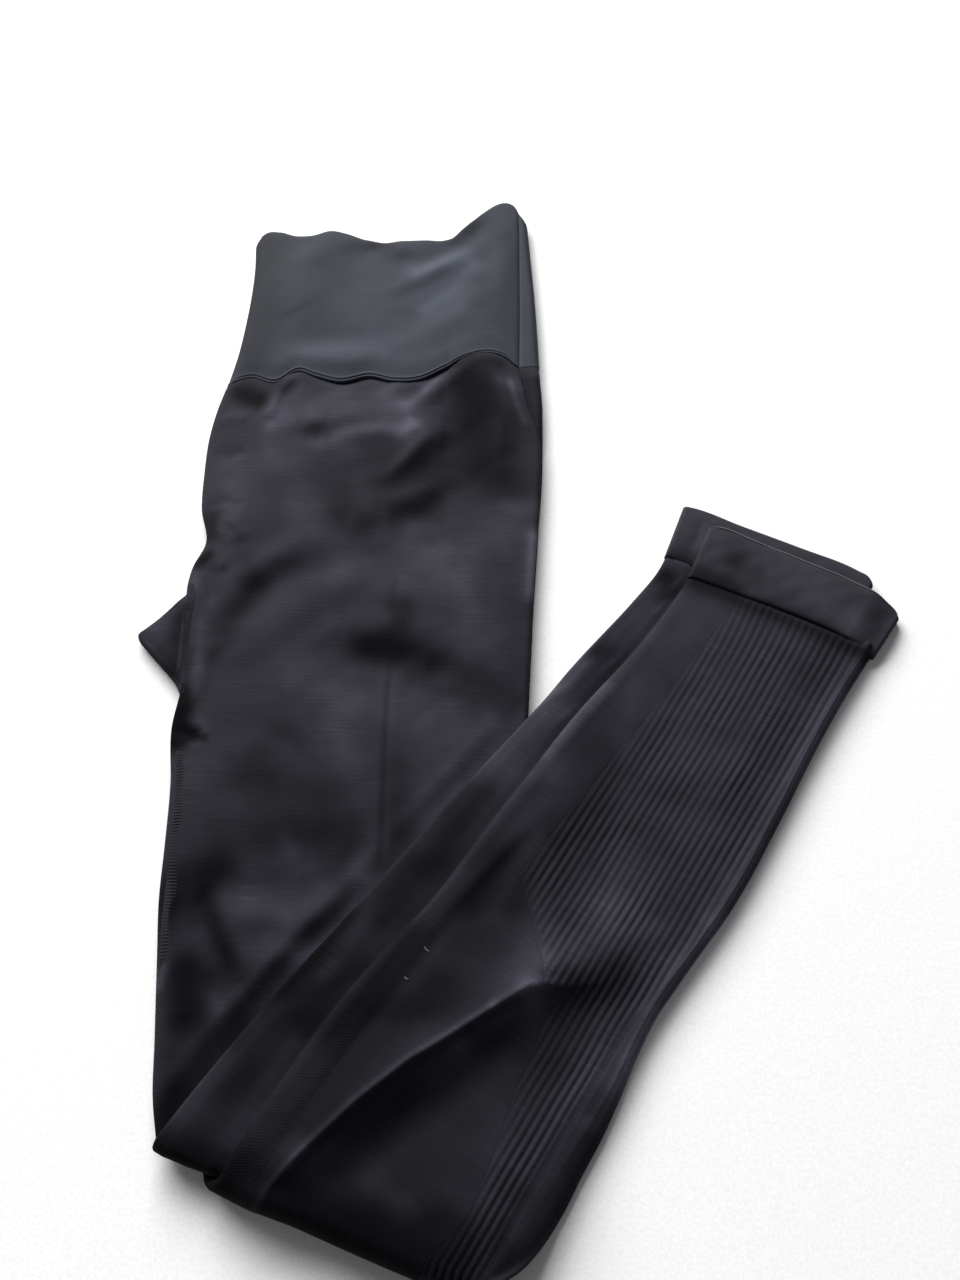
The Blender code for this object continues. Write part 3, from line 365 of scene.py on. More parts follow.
# ---- painted shading: as creases, but how much lighter the knit is painted, as a natural logarithm. Darker bells are painted shade in creases, hollows and under edges, lighter bells painted light on lit ridges and edges ----
# least and most factor of the painted light and shade, mottle included
PAINTED_SHADING_LIMITS = (0.05, 4.0)
WAIST_PAINTED_SHADING = (
    (15, 15, -0.9, -14, 455, -10, 366),
    (14, 14, -0.4, 26, 448, 22, 395),
    (7, 7, -0.65, 38, 453, 58, 452),
    (7, 7, 0.6, 76, 432, 92, 440, 102, 446),
    (5, 5, 0.6, 80, 404, 94, 418, 107, 439),
    (7, 7, 0.2, 18, 371, 56, 371),
    (6, 6, -0.4, 112, 426, 108, 408),
    (6, 6, -0.35, 98, 458, 108, 474),
    (6, 6, -0.2, 126, 462, 128, 385),
    (4, 4, -0.7, 100, 364, 122, 365),
)
THIGH_PAINTED_SHADING = (
    (14, 13, -1.1, 106, 348, 108, 338, 111, 318, 112, 296),
    (6, 6, -0.45, 101, 344, 108, 351),
    (13, 13, -0.95, 110, 304, 121, 284),
    (7, 7, -0.6, 126, 326, 124, 306),
    (8, 8, -0.7, 96, 298, 82, 288, 68, 283),
    (9, 9, -0.4, 94, 310, 86, 298, 76, 288),
    (9, 9, -0.25, 96, 290, 92, 280),
    (6, 6, -0.4, 70, 265, 80, 269, 88, 273),
    (5, 5, -0.6, 84, 264, 90, 264),
    (9, 9, -0.42, 42, 278, 47, 266, 56, 256),
    (9, 9, -0.25, 62, 302, 54, 292),
    (6, 6, -0.3, 66, 282, 64, 272),
    (5.5, 5.5, -1.8, -11, 342, -3, 337),
    (5, 5, -0.5, -16, 352, 6, 352),
    (11, 11, 0.5, 14, 328, 50, 328, 74, 324),
    (7, 7, 0.3, 14, 343, 70, 343),
    (4.5, 4.5, 0.65, 86, 351, 74, 332),
    (6, 6, 0.35, 62, 338, 70, 330),
    (5, 5, 0.5, 40, 313, 60, 317, 80, 316),
    (4, 4, 0.6, 8, 338, 5, 318),
    (10, 10, 0.35, 10, 320, 4, 296),
    (9, 9, 0.45, -12, 292, -4, 268),
    (11, 11, 0.32, 16, 292, 28, 258),
    (4, 4, -0.8, -16, 263, -15, 252),
    (3, 3, 0.7, -11, 257, -6, 252),
    (12, 12, 0.42, 78, 246, 100, 238, 128, 258),
    (10, 10, 0.42, 50, 230, 70, 226, 98, 226),
    (6, 6, -0.55, 11, 224, 5, 214, 0, 204, -5, 190),
    (5, 5, -0.45, 4, 238, 6, 232),
    (11, 11, 0.3, 104, 222, 108, 204),
    (7, 7, -0.45, 58, 194, 68, 194, 76, 192),
    (6, 6, -1.1, 76, 212, 76, 202),
    (6, 6, -0.85, 62, 189, 68, 188, 88, 185),
    (6, 6, -0.4, 92, 186, 106, 177, 124, 168),
    (5, 5, -0.4, 82, 176, 104, 169, 118, 163),
    (8, 8, 0.25, 34, 180, 42, 172),
    (8, 8, 0.4, 50, 168, 66, 164, 84, 158),
    (7, 7, 0.3, 98, 158, 97, 152),
    (8, 8, 0.42, 52, 156, 56, 140),
    (6, 6, 0.5, 84, 114, 95, 127, 106, 143, 116, 154),
    (10, 10, -0.8, 18, 134, 30, 125, 46, 124),
    (7, 7, -0.6, 76, 136, 78, 112),
    (9, 9, -0.5, -2, 104, 14, 107, 34, 108, 56, 106),
    (6, 6, -0.4, 84, 106, 76, 97),
    (7, 7, -1.4, 10, 95, 4, 88, -4, 82),
    (6, 6, -1, -7, 90, -6, 72),
    (4, 4, -0.7, 4, 86, 4, 75),
    (3.5, 3.5, -1.3, 6, 85, 12.5, 72, 19.5, 60),
    (6, 6, 0.4, 22, 77, 36, 74),
    (5, 5, 0.5, 64, 97, 66, 92),
    (7, 7, -2, 3, 57, 6, 42),
    (5, 5, -0.8, 14, 55, 24, 55),
    (2.5, 2.5, 0.9, -5, 58, -6, 52),
    (5, 5, 1, 44, 62, 54, 66, 66, 76),
    (3, 3, 0.4, 15, 46, 18, 43),
    (5, 5, -0.7, 58, 74, 46, 59, 32, 43, 18, 25, 6, 9),
    (7, 7, -1.6, 6, 16, 3, 3),
    (5, 5, -0.4, 4, 40, 3, 28),
    (4.8, 4.8, -3.4, -18.5, 170, -16.6, 161, -15.5, 149),
    (1.5, 1.5, -2, -13.5, 151.4, -8, 150.2, -3, 149.6),
    (2.5, 2.5, -0.8, -13, 170, -12, 162),
    (2.8, 2.8, -1.5, -19, 237, -14, 241.5),
    (3, 3, 0.6, -19, 230, -18.5, 224),
    (6, 6, 0.6, 122, 350, 136, 346),
    (5, 5, 0.6, 97, 318, 94, 303),
    (5, 5, 0.6, 77, 318, 74, 312),
    (5, 5, 0.45, 34, 306, 46, 305),
    (4, 4, 0.5, 42, 356, 58, 356),
    (5, 5, -0.5, 4, 355, 6, 344),
    (6, 6, -0.4, 62, 245, 72, 256),
    (5, 5, -0.5, 72, 287, 94, 285),
    (6, 6, 0.5, 122, 270, 137, 270),
    (5, 5, 1.3, 137, 252, 135, 222),
    (2.6, 2.6, 0.45, -12.5, 204, -11, 181),
    (4, 4, -0.5, -16, 190, -17, 176),
    (3, 3, 0.45, -6, 157, -4, 153),
    (4, 4, 0.6, 34, 108, 37, 102),
    (5, 5, -0.45, 60, 102, 54, 94),
    (4, 4, -0.9, 26, 38, 22, 32),
    (5, 5, -0.6, 15, 26, 17, 15),
    (5, 5, -0.4, 36, 147, 26, 154),
    (2, 2, 0.75, 126, 350, 128, 338, 133, 322),
    (5.5, 5.5, -0.8, 101, 361, 118, 363),
    (3, 3, 0.4, 83, 345, 92, 354),
    (2.8, 2.8, -1.9, -15, 153.5, -9.5, 151.2),
)
CALF_PAINTED_SHADING = (
    (13, 13, -0.9, 104, 44, 75, 36, 35, 30, 12, 27),
    (8, 8, -0.9, 84, 54, 66, 48, 45, 42, 20, 38),
    (8, 8, -1.1, 97, 29, 75, 31, 58, 29),
    (7, 7, -0.55, 116, 94, 106, 90),
    (14, 14, -1, 72, 84, 40, 78, 14, 70),
    (6, 6, -0.4, 54, 70, 40, 66, 18, 58),
    (5, 5, 0.7, 66, 69, 55, 66),
    (6, 6, -0.25, 84, 88, 76, 92),
    (5, 5, 0.55, 98, 76, 86, 84),
    (8, 8, -1.7, 2, 28, 2, 64, 2, 104),
    (8, 8, -0.5, 8, 24, 8, 30),
    (9, 9, -1.5, 138, 38, 128, 41, 120, 42),
    (5, 5, -0.9, 154, 53, 140, 52, 124, 55),
    (6, 6, -0.5, 170, 36, 150, 34),
    (6, 6, -0.5, 118, 58, 84, 62),
    (7, 7, -0.35, 242, 60, 190, 58, 165, 54),
    (4, 4, 0.55, 230, 33, 205, 31.5, 188, 30),
    (10, 10, 0.35, 144, 78, 130, 86, 118, 74),
    (4, 4, 0.5, 108, 75, 97, 74),
    (7, 7, -0.4, 126, 96, 108, 100),
    (2.2, 1.4, 0.45, 104, 84, 98, 77, 92, 73, 85, 69),
    (1.6, 1.1, 0.8, 85, 69.3, 67.5, 61, 57.5, 55.7, 38.7, 49, 14, 43.4, 2, 40.6),
    (5.5, 5.5, -1.3, 299, 34, 299, 114),
    (6, 6, 0.65, 292, 116, 240, 117, 200, 118.5, 150, 118.5, 122, 117, 80, 118),
    (6, 6, 0.35, 274, 117, 226, 118),
    (6, 6, 0.5, 150, 119, 122, 118, 90, 118),
    (6, 6, 0.5, 86, 108, 40, 109),
    (6, 6, -0.2, 66, 120, 30, 121, 12, 118),
    (6, 6, -0.6, 77, 56, 71, 44, 66, 32),
    (5, 5, 0.65, 17, 41, 4, 36),
    (5, 5, -0.75, 15, 91, 15, 101),
    (5, 5, 0.5, 16, 66, 15, 77),
    (7, 7, -0.25, 196, 46, 194, 78),
    (8, 8, -0.25, 178, 66, 168, 96),
    (5, 5, 0.35, 200, 28, 190, 22),
    (3, 3, 0.6, 108, 117.5, 62, 118.5),
    (3.5, 3.5, 0.55, 62, 115, 20, 114),
    (2.6, 2.6, -0.4, 104, 113.5, 66, 113.5),
)
STRIP_PAINTED_SHADING = (
    (11, 11, -0.9, 134, 16, 95, 15, 65, 15, 40, 18),
    (6, 6, -1, 162, 20, 125, 20),
    (6, 6, -1.4, 299, 25, 294, 30),
    (5, 5, -0.3, 247, 26, 243, 30),
    (8, 8, -0.9, 30, 11, 8, 14),
    (6, 6, -1.8, 2, 0, 2, 30),
    (5.5, 5.5, -1, 96, 6, 70, 5, 42, 3),
    (6, 6, -0.9, 78, 20, 56, 16),
    (5, 5, 0.5, 46, 19, 36, 20),
    (7, 7, 0.4, 216, 20, 190, 16, 178, 12),
    (4, 4, -1.5, 96, 3, 62, 3),
    (4.5, 4.5, 0.8, 97, 12, 74, 12),
    (5, 5, -0.5, 108, 20, 100, 18),
    (5, 5, -0.6, 160, 12, 150, 12),
    (5, 5, 0.5, 138, 21, 132, 16),
    (3, 3, 0.9, 238, 20, 222, 19, 206, 12),
)
GUSSET_PAINTED_SHADING = (
    (5, 5, -0.9, -22, 212, -20, 184),
    (3, 3, -0.5, -30, 193, -22, 183),
    (4, 4, 0.3, -34, 203, -30, 198),
)
CUFF_PAINTED_SHADING = (
    (4, 4, -0.8, 304, 36, 305, 54),
    (6, 6, -0.5, 318, 48, 314, 58),
    (5, 5, -0.9, 306, 20, 311, 28),
    (3, 3, -0.4, 303, 70, 303, 100),
    (9, 9, 0.22, 320, 74, 312, 100),
    (6, 6, 0.5, 312, 107, 306, 111),
)


def ease(value):
    """Goes from 0 to 1 with level ends while the value does: 3 times its square less 2 times its cube."""
    share = np.clip(value, 0.0, 1.0)
    return share * share * (3.0 - 2.0 * share)


def grown(least, value):
    """Goes from `least` to 1 with level ends while the value goes from 0 to 1."""
    return least + (1.0 - least) * ease(value)


def bell(far, width):
    """Falls from 1 with the distance: e to the power of minus (far / width) squared."""
    return np.exp(-(far / width) ** 2)


def spline(at, knots, values):
    """Smooth curve through values at knots: cubic pieces whose slopes come from the neighbours."""
    knots, values, at = (np.asarray(numbers, dtype=float) for numbers in (knots, values, at))
    slopes = np.gradient(values, knots, axis=0)
    low = np.clip(np.searchsorted(knots, at) - 1, 0, len(knots) - 2)
    step = knots[low + 1] - knots[low]
    t = np.clip((at - knots[low]) / step, 0.0, 1.0)
    if values.ndim > 1:
        t, step = t[..., None], step[..., None]
    rise = t * t * (3.0 - 2.0 * t)
    return (values[low] * (1.0 - rise) + values[low + 1] * rise
            + step * (slopes[low] * t * (1.0 - t) ** 2 - slopes[low + 1] * t * t * (1.0 - t)))


def nearest_run(x, y, places):
    """The nearest point of a line of straight runs: its distance, the way from it in x and y, the side
    that the place is on, and how far along the line it is. Then the lengths of the runs."""
    places = np.array(places, dtype=float).reshape(-1, 2)
    runs = np.diff(places, axis=0)
    lengths = np.hypot(runs[:, 0], runs[:, 1])
    starts = np.concatenate([[0.0], np.cumsum(lengths)[:-1]])
    found = [np.full(x.shape, np.inf)] + [np.zeros_like(x)] * 4
    for place, run, length, start in zip(places, runs, lengths, starts):
        dx, dy = x - place[0], y - place[1]
        share = np.clip((dx * run[0] + dy * run[1]) / length ** 2, 0.0, 1.0)
        away_x, away_y = dx - share * run[0], dy - share * run[1]
        here = (np.hypot(away_x, away_y), away_x, away_y, run[0] * dy - run[1] * dx,
                start + share * length)
        closer = here[0] < found[0]
        found = [np.where(closer, new, old) for new, old in zip(here, found)]
    return found + [lengths]


def creases_height(x, y, creases, fading=True):
    """Sum of soft ridges and hollows.

    Each is a bell over the distance to a line of straight runs, with its own width on either side.
    Where `fading` is asked for it fades in and out over the first and last fifth of its length.
    """
    total = np.zeros_like(x)
    for left_width, right_width, rise, *places in creases:
        far, _, _, side, travelled, lengths = nearest_run(x, y, places)
        share = travelled / lengths.sum()
        fade = ease(share / FADE + FADED) * ease((1.0 - share) / FADE + FADED) if fading else 1.0
        blend = ease(side / (lengths.mean() * SIDE_BLEND) + 0.5)
        total += rise * fade * bell(far, right_width + (left_width - right_width) * blend)
    return total


def slopes_height(x, y, slopes, lightward=LIGHTWARD):
    """Sum of slopes. Each is s / w * exp(-(d / w)^2), where d is the distance to a line of straight
    runs, w its width and s how far the place is from that line towards the back left. It is weaker
    towards the line's ends."""
    total = np.zeros_like(x)
    for width, rise, *places in slopes:
        far, away_x, away_y, _, travelled, lengths = nearest_run(x, y, places)
        width = width * SOFTER
        towards = away_x * lightward[0] + away_y * lightward[1]
        ends = 1.0 - END_LOSS * np.abs(2.0 * travelled / lengths.sum() - 1.0) ** END_POWER
        total += rise * SOFTER * ends * towards / width * bell(far, width)
    return total


def ripple(x, y, wave, seed, count=7):
    """Gentle unevenness from -1 to 1: a sum of sine waves in seeded directions, about `wave` long."""
    chance = np.random.default_rng(seed)
    total = np.zeros_like(x)
    for _ in range(count):
        heading, phase = chance.uniform(0.0, 2.0 * math.pi, 2)
        turn = 2.0 * math.pi / (wave * chance.uniform(0.7, 1.6))
        total += np.sin(turn * (x * math.cos(heading) + y * math.sin(heading)) + phase)
    return total / math.sqrt(count * 2.0)


def uneven(x, y, waves):
    """Sum of ripples, each times its rise."""
    return sum(rise * ripple(x, y, *ripples) for rise, *ripples in waves)


def mottle_and_painted_shading_of(x, y, painted_shading_bells, mottling=1.0):
    """How light the knit is painted, near 1: e to the power of a sum of bells, which are painted light
    and shade, and a gentle mottling of the knit's own tone.
    """
    strength = creases_height(x, y, painted_shading_bells, False) + mottling * uneven(x, y, MOTTLING)
    return np.clip(np.exp(strength), *PAINTED_SHADING_LIMITS)


def crown(share, power=6):
    """1 in the middle of a width, 0 at its edges: 1 less a power of the distance from the middle."""
    return 1.0 - np.abs(2.0 * np.clip(share, 0.0, 1.0) - 1.0) ** power


def calf_value(along, column):
    """A column of CALF at a place up the calf."""
    return spline(along, CALF[:, 0], CALF[:, column])


def to_plan(far, across):
    """Plan position of a place given by its two distances in the calves' directions."""
    return far * ALONG[0] + across * ACROSS[0], far * ALONG[1] + across * ACROSS[1]


def to_calf(x, y):
    """The two distances of a plan position in the calves' directions."""
    return x * ALONG[0] + y * ALONG[1], x * ACROSS[0] + y * ACROSS[1]


def calf_plan(along, across):
    """Plan position of a place on the calves, whose rows turn from the fold's slant to the ankle's."""
    share = np.minimum(along, LEFT_CALF_END) / LEFT_CALF_END
    return to_plan(along + (FOLD_SHEAR + (ANKLE_SHEAR - FOLD_SHEAR) * share) * across, across)


def calf_cloth(x, y):
    """The knit's own coordinates on a calf, whose courses run across it."""
    far, across = to_calf(x, y)
    return np.stack([across, -far], axis=-1)


def ground(x, y):
    """Height that the right calf lies at: on the thigh, then down to the surface beside it."""
    beyond = x - EDGE_X - EDGE_SLOPE * (y - EDGE_Y) - DROP_START
    return CALF_LEVEL * (1.0 - ease(beyond / DROP_LENGTH))


def left_ground(along, across):
    """The same for the left calf, whose right part drops to the surface beside the right calf."""
    base = ground(*calf_plan(along, across))
    start = calf_value(along, DROP_FROM)
    drop = ease((across - start) / (calf_value(along, LEFT_HIGH) - TUBE / 2 - start))
    return base + drop * (np.maximum(calf_value(along, EDGE_HEIGHT), TUBE) - STACK - base)


def left_calf_cover(along, across):
    """What the left calf's top adds to its pressed height: slack, folds and the bunched layers."""
    left, right = calf_value(along, LEFT_LOW), calf_value(along, LEFT_HIGH)
    slack = crown((across - left) / (right - left))
    for (least, length), far in ((FOLD_SLACK, along), (CUFF_SLACK, LEFT_CALF_END - 1.0 - along),
                                 (EDGE_SLACK, right - across)):
        slack = slack * grown(least, far / length)
    lightward = (ALONG @ LIGHTWARD, ACROSS @ LIGHTWARD)
    shape = LOFT + creases_height(along, across, CALF_CREASES) + uneven(along, across, CALF_WAVES)
    shape = shape + slopes_height(along, across, CALF_SLOPES, lightward)
    centre_along, centre_across, radius, height = BUNCH
    bunched = height * bell(np.hypot(along - centre_along, across - centre_across), radius)
    bunched = bunched * ease((right - across) / BUNCH_EDGE) * ease(along / BUNCH_START)
    return slack * np.maximum(shape, SINK) + bunched


def thigh_cover(x, y, share):
    """What the right thigh's top adds to its pressed height. It is flat where the calves lie on it."""
    along, across = to_calf(x, y)
    near, length = CALF_CLEAR
    low = calf_value(np.clip(along, FOLD_AT, RIGHT_CALF_END), RIGHT_LOW)
    shape = LOFT + creases_height(x, y, THIGH_CREASES) + uneven(x, y, THIGH_WAVES)
    shape = shape + slopes_height(x, y, THIGH_SLOPES + HIP_SLOPES)
    return ease((low - near - across) / length) * crown(share, 8) * np.maximum(shape, SINK)


def edge_turn(level, back, turn, reach, depth, run_steps):
    """Points of a wall round an edge and back under it, one row for each row of the inputs.

    An arc through `turn`, then a straight return of length `reach` in the arc's last direction.
    """
    side = np.sign(back - level)
    radius = (np.abs(back - level) - reach * np.sin(turn)) / (1.0 - np.cos(turn))
    angles = np.linspace(0.0, 1.0, BEND_STEPS) * turn
    bend = radius - depth
    inset = depth + bend * (1.0 - np.sin(angles))
    height = level + side * (depth + bend * (1.0 - np.cos(angles)))
    run = np.linspace(0.0, 1.0, run_steps + 1)[1:] * reach
    inset = np.concatenate([inset, inset[:, -1:] - np.cos(turn) * run], axis=1)
    height = np.concatenate([height, height[:, -1:] + side * np.sin(turn) * run], axis=1)
    return radius, inset, height


def section(left, right, level, back, depth, main_count, left_edge, right_edge, right_back=None):
    """Sections of a tube's visible side: across, height, and which columns are its main part.

    Each edge is its turn, the reach of its return and the steps in it.
    """
    def row(value):
        """A value for each section, as a column."""
        return np.full((len(left), 1), float(value)) if np.ndim(value) == 0 else value[:, None]
    (radius_l, inset_l, height_l), (radius_r, inset_r, height_r) = (
        edge_turn(row(level), row(ends), row(turn), row(reach), depth, steps)
        for (turn, reach, steps), ends in ((left_edge, back),
                                           (right_edge, back if right_back is None else right_back)))
    start, end = row(left) + radius_l, row(right) - radius_r
    main = start + (end - start) * np.linspace(0.0, 1.0, main_count)
    flat = np.broadcast_to(row(level) + np.sign(row(back) - row(level)) * depth, main.shape)
    across = np.concatenate([row(left) + inset_l[:, :0:-1], main, row(right) - inset_r[:, 1:]], axis=1)
    height = np.concatenate([height_l[:, :0:-1], flat, height_r[:, 1:]], axis=1)
    column = np.arange(across.shape[1]) - inset_l.shape[1] + 1
    return across, height, (column >= 0) & (column < main_count)


def thigh_rows(count):
    """Thigh sections at even steps from the waist seam to the knee fold."""
    middle = -(THIGH[:, 1] + THIGH[:, 3]) / 2
    rows = spline(np.linspace(middle[0], middle[-1], count), middle, THIGH)
    left, right, shows, inset = rows[:, 0:2], rows[:, 2:4], rows[:, 4], rows[:, 5]
    below = ease((CROTCH_TOP - left[:, 1]) / (CROTCH_TOP - CROTCH_LOW))
    reach = CENTRE_RETURN + (TUCK - CENTRE_RETURN) * below ** 3
    return left, right, shows, inset, QUARTER_TURN * (1.0 + below), reach


def thigh_plan(left, right, across):
    """Plan positions of places across the thigh."""
    width = np.linalg.norm(right - left, axis=1)[:, None]
    return (left[:, :1] + across / width * (right - left)[:, :1],
            left[:, 1:] + across / width * (right - left)[:, 1:])


def straight_seam(x):
    """Y of a straight line between the waist seam's ends."""
    left_x, left_y, right_x, right_y = THIGH[0, :4]
    return left_y + (x - left_x) * (right_y - left_y) / (right_x - left_x)


def wavy_seam(x):
    """Y of the waist seam on the upper half."""
    return spline(np.clip(x, SEAM_X[0], SEAM_X[-1]), SEAM_X, SEAM_Y)


def under_seam(x):
    """How far the lower half's seam lies above the straight line, at its right end."""
    rise, start, length = UNDER_SEAM
    return rise * ease((x - start) / length)


def join_rows(thigh, thigh_uv, calf, calf_uv):
    """Thigh rows, rows that carry each column round the knee fold on a half ellipse, and calf rows."""
    angle = np.linspace(0.0, HALF_TURN, FOLD_STEPS)[1:-1, None, None]
    middle, half = (thigh[-1] + calf[0]) / 2, (thigh[-1] - calf[0]) / 2
    outward = np.append(FOLD_OUTWARD, 0.0) * np.abs(half[:, 2:3])
    turned = middle + half * np.cos(angle) + outward * np.sin(angle)
    share = np.linspace(0.0, 1.0, FOLD_STEPS)[1:-1, None, None]
    turned_uv = thigh_uv[-1] * (1.0 - share) + calf_uv[0] * share
    return np.concatenate([thigh, turned, calf]), np.concatenate([thigh_uv, turned_uv, calf_uv])


def wall_mesh(name, outer, inner, uv, wrap=False, mottle_and_painted_shading=None):
    """A closed wall between two like grids: both skins, and a rim along the grid's open borders."""
    mottle_and_painted_shading = np.ones(outer.shape[:2]) if mottle_and_painted_shading is None else mottle_and_painted_shading
    rows, columns = outer.shape[:2]
    count = rows * columns
    number = np.arange(count).reshape(rows, columns)
    if wrap:
        number = np.concatenate([number, number[:, :1]], axis=1)
    borders = [number[0], number[-1][::-1]] + ([] if wrap else [number[::-1, 0], number[:, -1]])
    quads = np.stack([number[:-1, :-1], number[:-1, 1:], number[1:, 1:], number[1:, :-1]], axis=-1)
    quads = quads.reshape(-1, 4)
    rims = [np.stack([line[1:], line[:-1], line[:-1] + count, line[1:] + count], axis=-1)
            for line in borders]
    faces = np.concatenate([quads, quads[:, ::-1] + count] + rims)
    points = np.concatenate([outer.reshape(-1, 3), inner.reshape(-1, 3)])
    corners = points[faces]
    halves = np.cross(corners[:, 1], corners[:, 2]) + np.cross(corners[:, 2], corners[:, 3])
    if np.einsum("ij,ij->", corners[:, 0], halves) < 0:
        faces = faces[:, ::-1]
    return mesh_object(name, points, faces, np.concatenate([uv.reshape(-1, 2)] * 2),
                       np.concatenate([mottle_and_painted_shading.ravel()] * 2))


def mesh_object(name, points, faces, uv, mottle_and_painted_shading):
    """An object at the origin from millimetre points, four-cornered faces and cloth coordinates.

    The painted shading of a point says how light the knit is painted there: painted light and shade where
    creases, slopes and edges lie, with the knit's own mottling.
    """
    mesh = bpy.data.meshes.new(name)
    mesh.vertices.add(len(points))
    mesh.vertices.foreach_set("co", ((points - CENTRE) * MM).astype(np.float32).ravel())
    mesh.loops.add(faces.size)
    mesh.loops.foreach_set("vertex_index", faces.astype(np.int32).ravel())
    mesh.polygons.add(len(faces))
    mesh.polygons.foreach_set("loop_start", np.arange(0, faces.size, faces.shape[1], dtype=np.int32))
    layer = mesh.uv_layers.new(name="cloth")
    layer.data.foreach_set("uv", (uv[faces.ravel()] * MM).astype(np.float32).ravel())
    # painted light and shade, with the knit's own mottle, kept as a point attribute
    shades = mesh.attributes.new("mottle_and_painted_shading", "FLOAT", "POINT")
    shades.data.foreach_set("value", mottle_and_painted_shading.astype(np.float32).ravel())
    mesh.update(calc_edges=True)
    mesh.validate()
    mesh.shade_smooth()
    return placed(name, mesh)


def placed(name, data):
    """A new object in the scene."""
    piece = bpy.data.objects.new(name, data)
    bpy.context.scene.collection.objects.link(piece)
    return piece


def right_leg():
    """Right leg: thigh's top side, knee fold, calf's underside, and the strip that shows above it."""
    skins = []
    for depth in (0.0, KNIT):
        left, right, _, _, turn, reach = thigh_rows(RIGHT_THIGH_ROWS)
        width = np.linalg.norm(right - left, axis=1)
        across, height, main = section(
            np.zeros(len(left)), width, STACK, TUBE + GAP, depth, RIGHT_COLUMNS,
            (turn, reach, STRIP_STEPS), (HALF_TURN, TUCK, 2))
        x, y = thigh_plan(left, right, across)
        line = straight_seam(x)
        y = y + (wavy_seam(x) - line) * (1.0 - ease((line - y) / SEAM_FADE))
        z = height + np.where(main, thigh_cover(x, y, across / width[:, None]), 0.0)
        z[0] -= SEAM_DIPS[0] * np.where(main, 1.0, 0.5)
        z[1] -= SEAM_DIPS[1]
        y[0] += SEAM_UNDER
        thigh = np.stack([x, y, z], axis=-1)
        along = np.linspace(FOLD_AT, RIGHT_CALF_END, RIGHT_CALF_ROWS)
        low, shown, high = (calf_value(along, column) for column in (RIGHT_LOW, LEFT_LOW, RIGHT_HIGH))
        across, height, main = section(
            low, high, 0.0, TUBE, depth, RIGHT_COLUMNS,
            (HALF_TURN, shown + TUCK - low, STRIP_STEPS), (HALF_TURN, TUCK, 2))
        far = np.broadcast_to(along[:, None], across.shape)
        x, y = calf_plan(far, across)
        inside, rising, falling = STRIP_MARGINS
        strip = ease((across - low[:, None] - inside) / rising)
        strip = strip * ease((shown[:, None] - across) / falling)
        creased = creases_height(far, across, STRIP_CREASES)
        strip = strip * (STRIP_RISE + creased + uneven(x, y, STRIP_WAVES))
        is_strip = np.arange(across.shape[1]) < main.argmax()
        calf = np.stack([x, y, height + ground(x, y) + np.where(is_strip, strip, 0.0)], axis=-1)
        skins.append(join_rows(thigh, thigh[..., :2], calf, calf_cloth(x, y)))
    # painted light and shade on the thigh and on the calf's strip, with the knit's own mottle
    mottle_and_painted_shading = mottle_and_painted_shading_of(thigh[..., 0], thigh[..., 1], THIGH_PAINTED_SHADING)
    strip_mottle_and_painted_shading = mottle_and_painted_shading_of(far, across, STRIP_PAINTED_SHADING)
    turned = mottle_and_painted_shading[-1] + (strip_mottle_and_painted_shading[0] - mottle_and_painted_shading[-1]) * np.linspace(0.0, 1.0, FOLD_STEPS)[1:-1, None]
    (outer, uv), (inner, _) = skins
    return wall_mesh("right_leg_cloth", outer, inner, uv, mottle_and_painted_shading=np.concatenate([mottle_and_painted_shading, turned, strip_mottle_and_painted_shading]))


def left_leg():
    """Left leg: thigh's underside, knee fold and calf's top side, sunk a little under the ribs."""
    skins = []
    for depth in (0.0, KNIT):
        left, right, shows, inset, turn, reach = thigh_rows(LEFT_THIGH_ROWS)
        width = np.linalg.norm(right - left, axis=1)
        raised = ease((right[:, 1] - UNDER_RAISE[0]) / UNDER_RAISE[1])
        back = TUBE + (UNDER_BACK - TUBE) * raised
        tucked = TUCK + (np.maximum(shows - back / 2 + UNDER_TUCK, UNDER_TUCK / 2) - TUCK) * raised
        across, height, _ = section(
            inset, width + shows, 0.0, TUBE, depth, LEFT_COLUMNS,
            (turn, reach, 3), (HALF_TURN, tucked, 3), back)
        x, y = thigh_plan(left, right, across)
        y = y + under_seam(x) * ease((y - UNDER_FADE[0]) / UNDER_FADE[1])
        thigh = np.stack([x, y, height], axis=-1)
        along = np.linspace(FOLD_AT, LEFT_CALF_END + CUFF_OVERLAP, LEFT_CALF_ROWS)
        across, height, main = section(
            calf_value(along, LEFT_LOW), calf_value(along, LEFT_HIGH), STACK, TUBE + GAP, depth,
            LEFT_COLUMNS, (HALF_TURN, TUCK, 3), (HALF_TURN, TUCK, 3))
        far = np.broadcast_to(along[:, None], across.shape)
        x, y = calf_plan(far, across)
        sunk = RIBS_SUNK[0] * ease((rib_margin(far, across) - RIBS_SUNK[1]) / RIBS_SUNK[2])
        cover = np.where(main, left_calf_cover(far, across) - sunk, 0.0)
        calf = np.stack([x, y, height + left_ground(far, across) + cover], axis=-1)
        skins.append(join_rows(thigh, thigh[..., :2], calf, calf_cloth(x, y)))
    # painted light and shade on the left calf; the thigh's and fold's rows take its first row's
    mottle_and_painted_shading = mottle_and_painted_shading_of(far, across, CALF_PAINTED_SHADING)
    rest = np.repeat(mottle_and_painted_shading[:1], len(thigh) + FOLD_STEPS - 2, axis=0)
    (outer, uv), (inner, _) = skins
    return wall_mesh("left_leg_cloth", outer, inner, uv, mottle_and_painted_shading=np.concatenate([rest, mottle_and_painted_shading]))


def rib_sides(along):
    """Where the ribbed zone starts and ends across the calf."""
    return [np.interp(along, CALF[:, 0], CALF[:, column]) for column in (RIBS_FROM, RIBS_TO)]


def rib_margin(along, across):
    """How far inside the ribbed zone a place is, in mm, and less than nothing outside it."""
    side, flank = rib_sides(along)
    return np.minimum(across - side, flank - across)


